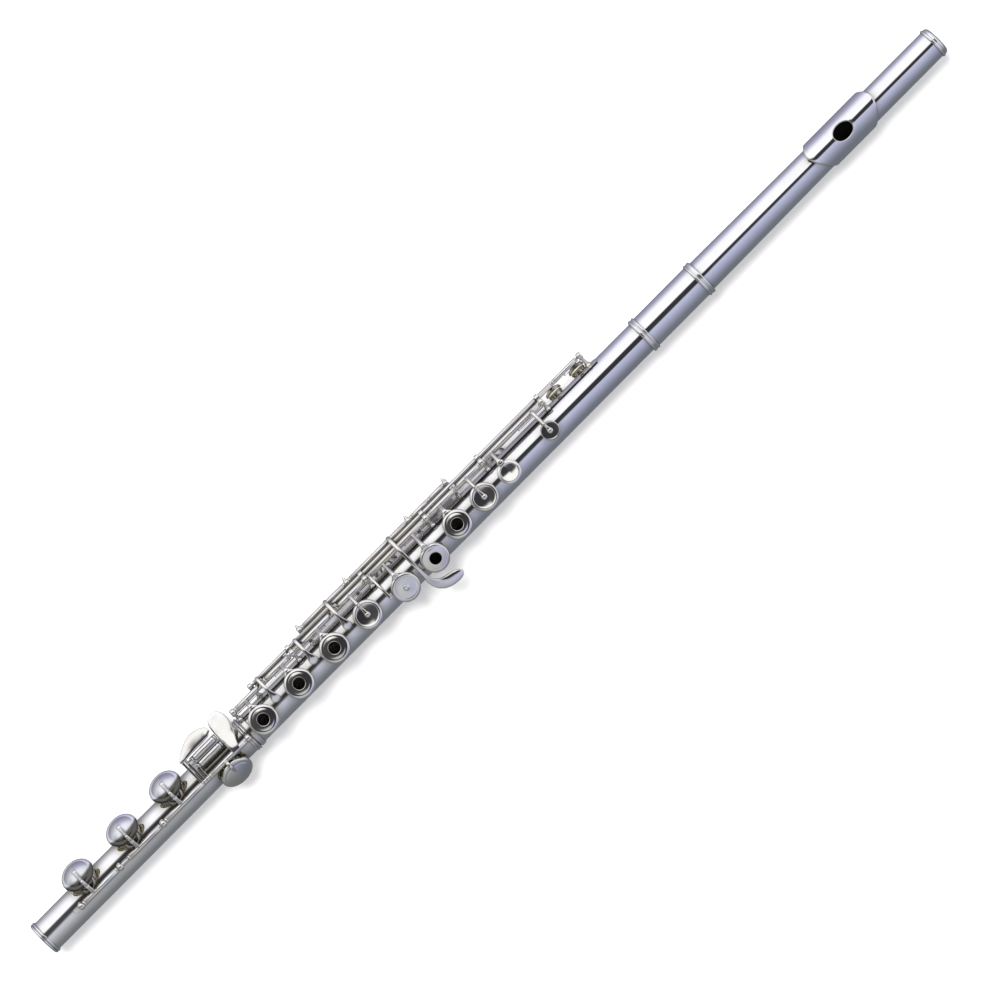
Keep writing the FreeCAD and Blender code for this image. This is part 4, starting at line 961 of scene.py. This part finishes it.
# embouchure hole: centre x and half axes; the arc shift brings it over the tube's axis
HOLE_X, HOLE_HALF_X, HOLE_HALF_ARC = 1.1, 6.2, 5.3 * 1.08
HOLE_ARC = -LIP_Y / LIP_HALF_Y * 57.3 * ARC_PER_DEGREE      # 57.3 degrees in a radian
# rounded hole edge: distance out from the hole, lift
HOLE_EDGE = [(0.0, -LIP_THICKNESS), (0.0, -0.62), (0.06, -0.38), (0.2, -0.18), (0.42, -0.05),
             (0.7, 0.0)]
# rolled outer edge: distance in from the outline, lift
ROLLED_EDGE = [(1.3, 0.0), (1.05, -0.03), (0.8, -0.12), (0.55, -0.27), (0.33, -0.44),
               (0.14, -0.64), (0.03, -0.86), (0.0, -1.05), (0.14, -1.2), (0.45, -1.22),
               (1.0, -LIP_THICKNESS)]
LIP_SEGMENTS = 144


def lip_loop():
    """Smooth outline as (x, arc) points."""
    count = len(LIP_OUTLINE)
    loop = []
    for i in range(count):
        near = [LIP_OUTLINE[(i + k - 1) % count] for k in range(4)]
        for k in range(8):
            x, degrees = (catmull_rom(*column, k / 8) for column in zip(*near))
            loop.append((x, degrees * ARC_PER_DEGREE))
    return loop


def lip_reach(loop, angle):
    """Distance from the plate's origin to its outline in a direction of (x, arc) space."""
    c, s = math.cos(angle), math.sin(angle)
    best = 0.0
    for i, (x0, y0) in enumerate(loop):
        x1, y1 = loop[(i + 1) % len(loop)]
        d0, d1 = c * y0 - s * x0, c * y1 - s * x1
        if d0 * d1 <= 0 and d0 != d1:
            t = d0 / (d0 - d1)
            best = max(best, c * (x0 + (x1 - x0) * t) + s * (y0 + (y1 - y0) * t))
    return best


def lip_point(x, arc, lift):
    """Point on the saddle, lifted along its normal."""
    turn = math.radians(arc / ARC_PER_DEGREE)
    s, c = math.sin(turn), math.cos(turn)
    normal = Vector((0, s / LIP_HALF_Y, c / LIP_HALF_Z)).normalized()
    on_saddle = Vector((EMBOUCHURE_X + x, LIP_Y + LIP_HALF_Y * s, LIP_HALF_Z * c))
    return HEAD_TURN @ (on_saddle + normal * lift)


def lip_column(loop, angle):
    """Section through the plate: hole edge, top, rolled edge and back along the underside."""
    reach = lip_reach(loop, angle)
    hole_x, hole_arc = HOLE_HALF_X * math.cos(angle), HOLE_HALF_ARC * math.sin(angle)
    hole_reach = math.hypot(hole_x, hole_arc)
    hole_angle = math.atan2(hole_arc, hole_x)

    def by_hole(out):
        r = hole_reach + out
        return HOLE_X + r * math.cos(hole_angle), r * math.sin(hole_angle) + HOLE_ARC

    def by_outline(inset):
        return (reach - inset) * math.cos(angle), (reach - inset) * math.sin(angle)

    def between(share, lift):
        p = Vector(by_hole(0.9)) * (1 - share) + Vector(by_outline(1.6)) * share
        return lip_point(p.x, p.y, lift)

    return ([lip_point(*by_hole(out), lift) for out, lift in HOLE_EDGE]
            + [between(f, 0.0) for f in (0.12, 0.25, 0.4, 0.55, 0.7, 0.82, 0.9)]
            + [lip_point(*by_outline(inset), lift) for inset, lift in ROLLED_EDGE]
            + [between(f, -LIP_THICKNESS) for f in (0.8, 0.55, 0.3, 0.12)])


def make_lip_plate():
    loop = lip_loop()
    columns = [lip_column(loop, 2 * math.pi * (k + 0.5) / LIP_SEGMENTS)
               for k in range(LIP_SEGMENTS)]
    size = len(columns[0])
    faces = []
    for k in range(LIP_SEGMENTS):
        here, beside = k * size, (k + 1) % LIP_SEGMENTS * size
        for i in range(size):
            h = (i + 1) % size
            faces.append((here + i, here + h, beside + h, beside + i))
    verts = [tuple(p) for column in columns for p in column]
    ob = make("lip_plate_rolled", (verts, faces), SILVER)
    register(ob, "head", "lip_plate")


# ---------------------------------------------------------------- floor and light
FLOOR_X, FLOOR_Z, FLOOR_SIZE, FLOOR_CELLS = -355, -18.6, 9000, 60


def floor_material():
    material, tree, shader = new_material("studio_floor_white")
    clouds = noise_texture(tree, object_coords(tree), scale=3.0, detail=2.0)
    colour = ramp(tree, clouds, [(0.3, (0.93, 0.93, 0.93)), (0.7, (0.95, 0.95, 0.95))])
    wire(tree, shader, {"Base Color": colour, "Roughness": 0.9, "Specular IOR Level": 0.0})
    return material


def make_floor():
    n = FLOOR_CELLS
    verts = [(FLOOR_X + (i / n - 0.5) * FLOOR_SIZE, (k / n - 0.5) * FLOOR_SIZE, FLOOR_Z)
             for i in range(n + 1) for k in range(n + 1)]
    faces = []
    for i in range(n):
        for k in range(n):
            a = i * (n + 1) + k
            faces.append((a, a + n + 1, a + n + 2, a + 1))
    ground = make("studio_floor", (verts, faces), floor_material())
    ground.visible_glossy = False


def make_sun():
    """Soft sun leaning 24 degrees towards -Y; left out of reflections."""
    sun = bpy.data.lights.new("soft_key_light", "SUN")
    sun.energy = 2.9
    sun.angle = math.radians(22.0)
    lamp = bpy.data.objects.new("soft_key_light", sun)
    lamp.visible_glossy = False
    bpy.context.scene.collection.objects.link(lamp)
    lean = math.radians(24.0)
    towards = Vector((0.06, -math.sin(lean), math.cos(lean)))
    lamp.matrix_world = towards.to_track_quat("Z", "Y").to_matrix().to_4x4()


# Reflected room as (degrees from +Z towards -Y, rgb): dim on the +Y side and below, a dark gap
# overhead, a bright soft box on the -Y side. BLUISH is met towards -X, GREY towards +X.
BLUISH = [
    (-180, (0.20, 0.20, 0.22)), (-125, (0.17, 0.18, 0.20)), (-100, (0.17, 0.19, 0.225)),
    (-80, (0.22, 0.235, 0.29)), (-63, (0.30, 0.31, 0.40)), (-48, (0.37, 0.385, 0.515)),
    (-34, (0.44, 0.465, 0.62)), (-20, (0.535, 0.55, 0.715)), (-6, (0.60, 0.61, 0.77)),
    (-1, (0.035, 0.035, 0.04)), (23, (0.035, 0.035, 0.04)), (28, (1.15, 1.15, 1.15)),
    (75, (1.12, 1.12, 1.12)), (90, (0.90, 0.90, 0.99)), (109, (0.52, 0.51, 0.64)),
    (133, (0.32, 0.32, 0.42)), (180, (0.20, 0.20, 0.22))]
GREY = [
    (-180, (0.18, 0.18, 0.18)), (-125, (0.18, 0.19, 0.19)), (-100, (0.195, 0.205, 0.21)),
    (-80, (0.25, 0.26, 0.265)), (-63, (0.335, 0.345, 0.35)), (-48, (0.415, 0.425, 0.435)),
    (-34, (0.525, 0.54, 0.55)), (-20, (0.60, 0.62, 0.64)), (-3, (0.63, 0.65, 0.67)),
    (4, (0.09, 0.09, 0.095)), (12, (0.06, 0.06, 0.065)), (29, (0.07, 0.07, 0.075)),
    (38, (1.15, 1.15, 1.15)), (75, (1.12, 1.12, 1.12)), (90, (0.95, 0.95, 0.97)),
    (109, (0.64, 0.64, 0.67)), (133, (0.38, 0.39, 0.41)), (180, (0.18, 0.18, 0.18))]
END_CARDS = [(0.0, (0.80, 0.80, 0.83)), (1.0, (0.20, 0.20, 0.22))]      # past -X, past +X
FILL = (0.86, 0.86, 0.87, 1.0)              # light on matt surfaces
BACKDROP = (0.97, 0.97, 0.97, 1.0)          # what the camera sees


def make_world():
    world = bpy.data.worlds.new("studio_wrap")
    bpy.context.scene.world = world
    world.use_nodes = True
    tree = world.node_tree
    tree.nodes.clear()
    output = node(tree, "ShaderNodeOutputWorld")
    background = node(tree, "ShaderNodeBackground")
    tree.links.new(background.outputs[0], output.inputs[0])
    generated = node(tree, "ShaderNodeTexCoord").outputs["Generated"]
    x, y, z = node(tree, "ShaderNodeSeparateXYZ", {0: generated}).outputs
    angle = math_node(tree, "ARCTAN2", math_node(tree, "MULTIPLY", y, -1.0), z)
    around = map_range(tree, angle, -math.pi, math.pi)
    bluish, grey = (ramp(tree, around, [((d + 180.0) / 360.0, c) for d, c in stops])
                    for stops in (BLUISH, GREY))
    room = mix_colour(tree, map_range(tree, x, -0.015, 0.07), bluish, grey)
    cards = ramp(tree, x, END_CARDS)
    endward = map_range(tree, math_node(tree, "ABSOLUTE", x), 0.38, 0.85,
                        interpolation_type="SMOOTHSTEP")
    above = map_range(tree, z, -0.25, 0.15)
    room = mix_colour(tree, math_node(tree, "MULTIPLY", endward, above), room, cards)
    ray = node(tree, "ShaderNodeLightPath").outputs
    lit = mix_colour(tree, ray["Is Glossy Ray"], FILL, room)
    seen = mix_colour(tree, ray["Is Camera Ray"], lit, BACKDROP)
    wire(tree, background, {"Color": seen, "Strength": 1.0})


# ---------------------------------------------------------------- camera
VIEW_WIDTH = 550.9518477        # mm across the picture at the aim point
CAMERA_DISTANCE = 4.2           # m
SENSOR = 36.0


def make_camera():
    """Long lens from above, tilted 7 degrees, the flute running diagonally across the view."""
    data = bpy.data.cameras.new("studio_camera")
    camera = bpy.data.objects.new("studio_camera", data)
    bpy.context.scene.collection.objects.link(camera)
    bpy.context.scene.camera = camera
    data.sensor_width = SENSOR
    data.lens = SENSOR * CAMERA_DISTANCE / (VIEW_WIDTH * MM)
    data.clip_end = 100.0
    tilt = math.radians(7.0)
    along = Vector((1, 0, 0))
    across = Vector((0, math.cos(tilt), math.sin(tilt)))
    right = -0.7044 * along + 0.7099 * across
    up = -0.7099 * along - 0.7044 * across
    back = right.cross(up)
    aim = (-354.9 * along + 1.72 * across) * MM
    rotation = Matrix((right, up, back)).transposed().to_4x4()
    camera.matrix_world = Matrix.Translation(aim + back * CAMERA_DISTANCE) @ rotation


dress_cad()
make_pads()
make_cork()
main_keys()
trill_keys()
back_keys()
foot_keys()
make_rollers()
make_lip_plate()
make_floor()
make_sun()
make_world()
make_camera()
bpy.context.scene.view_settings.view_transform = "Standard"
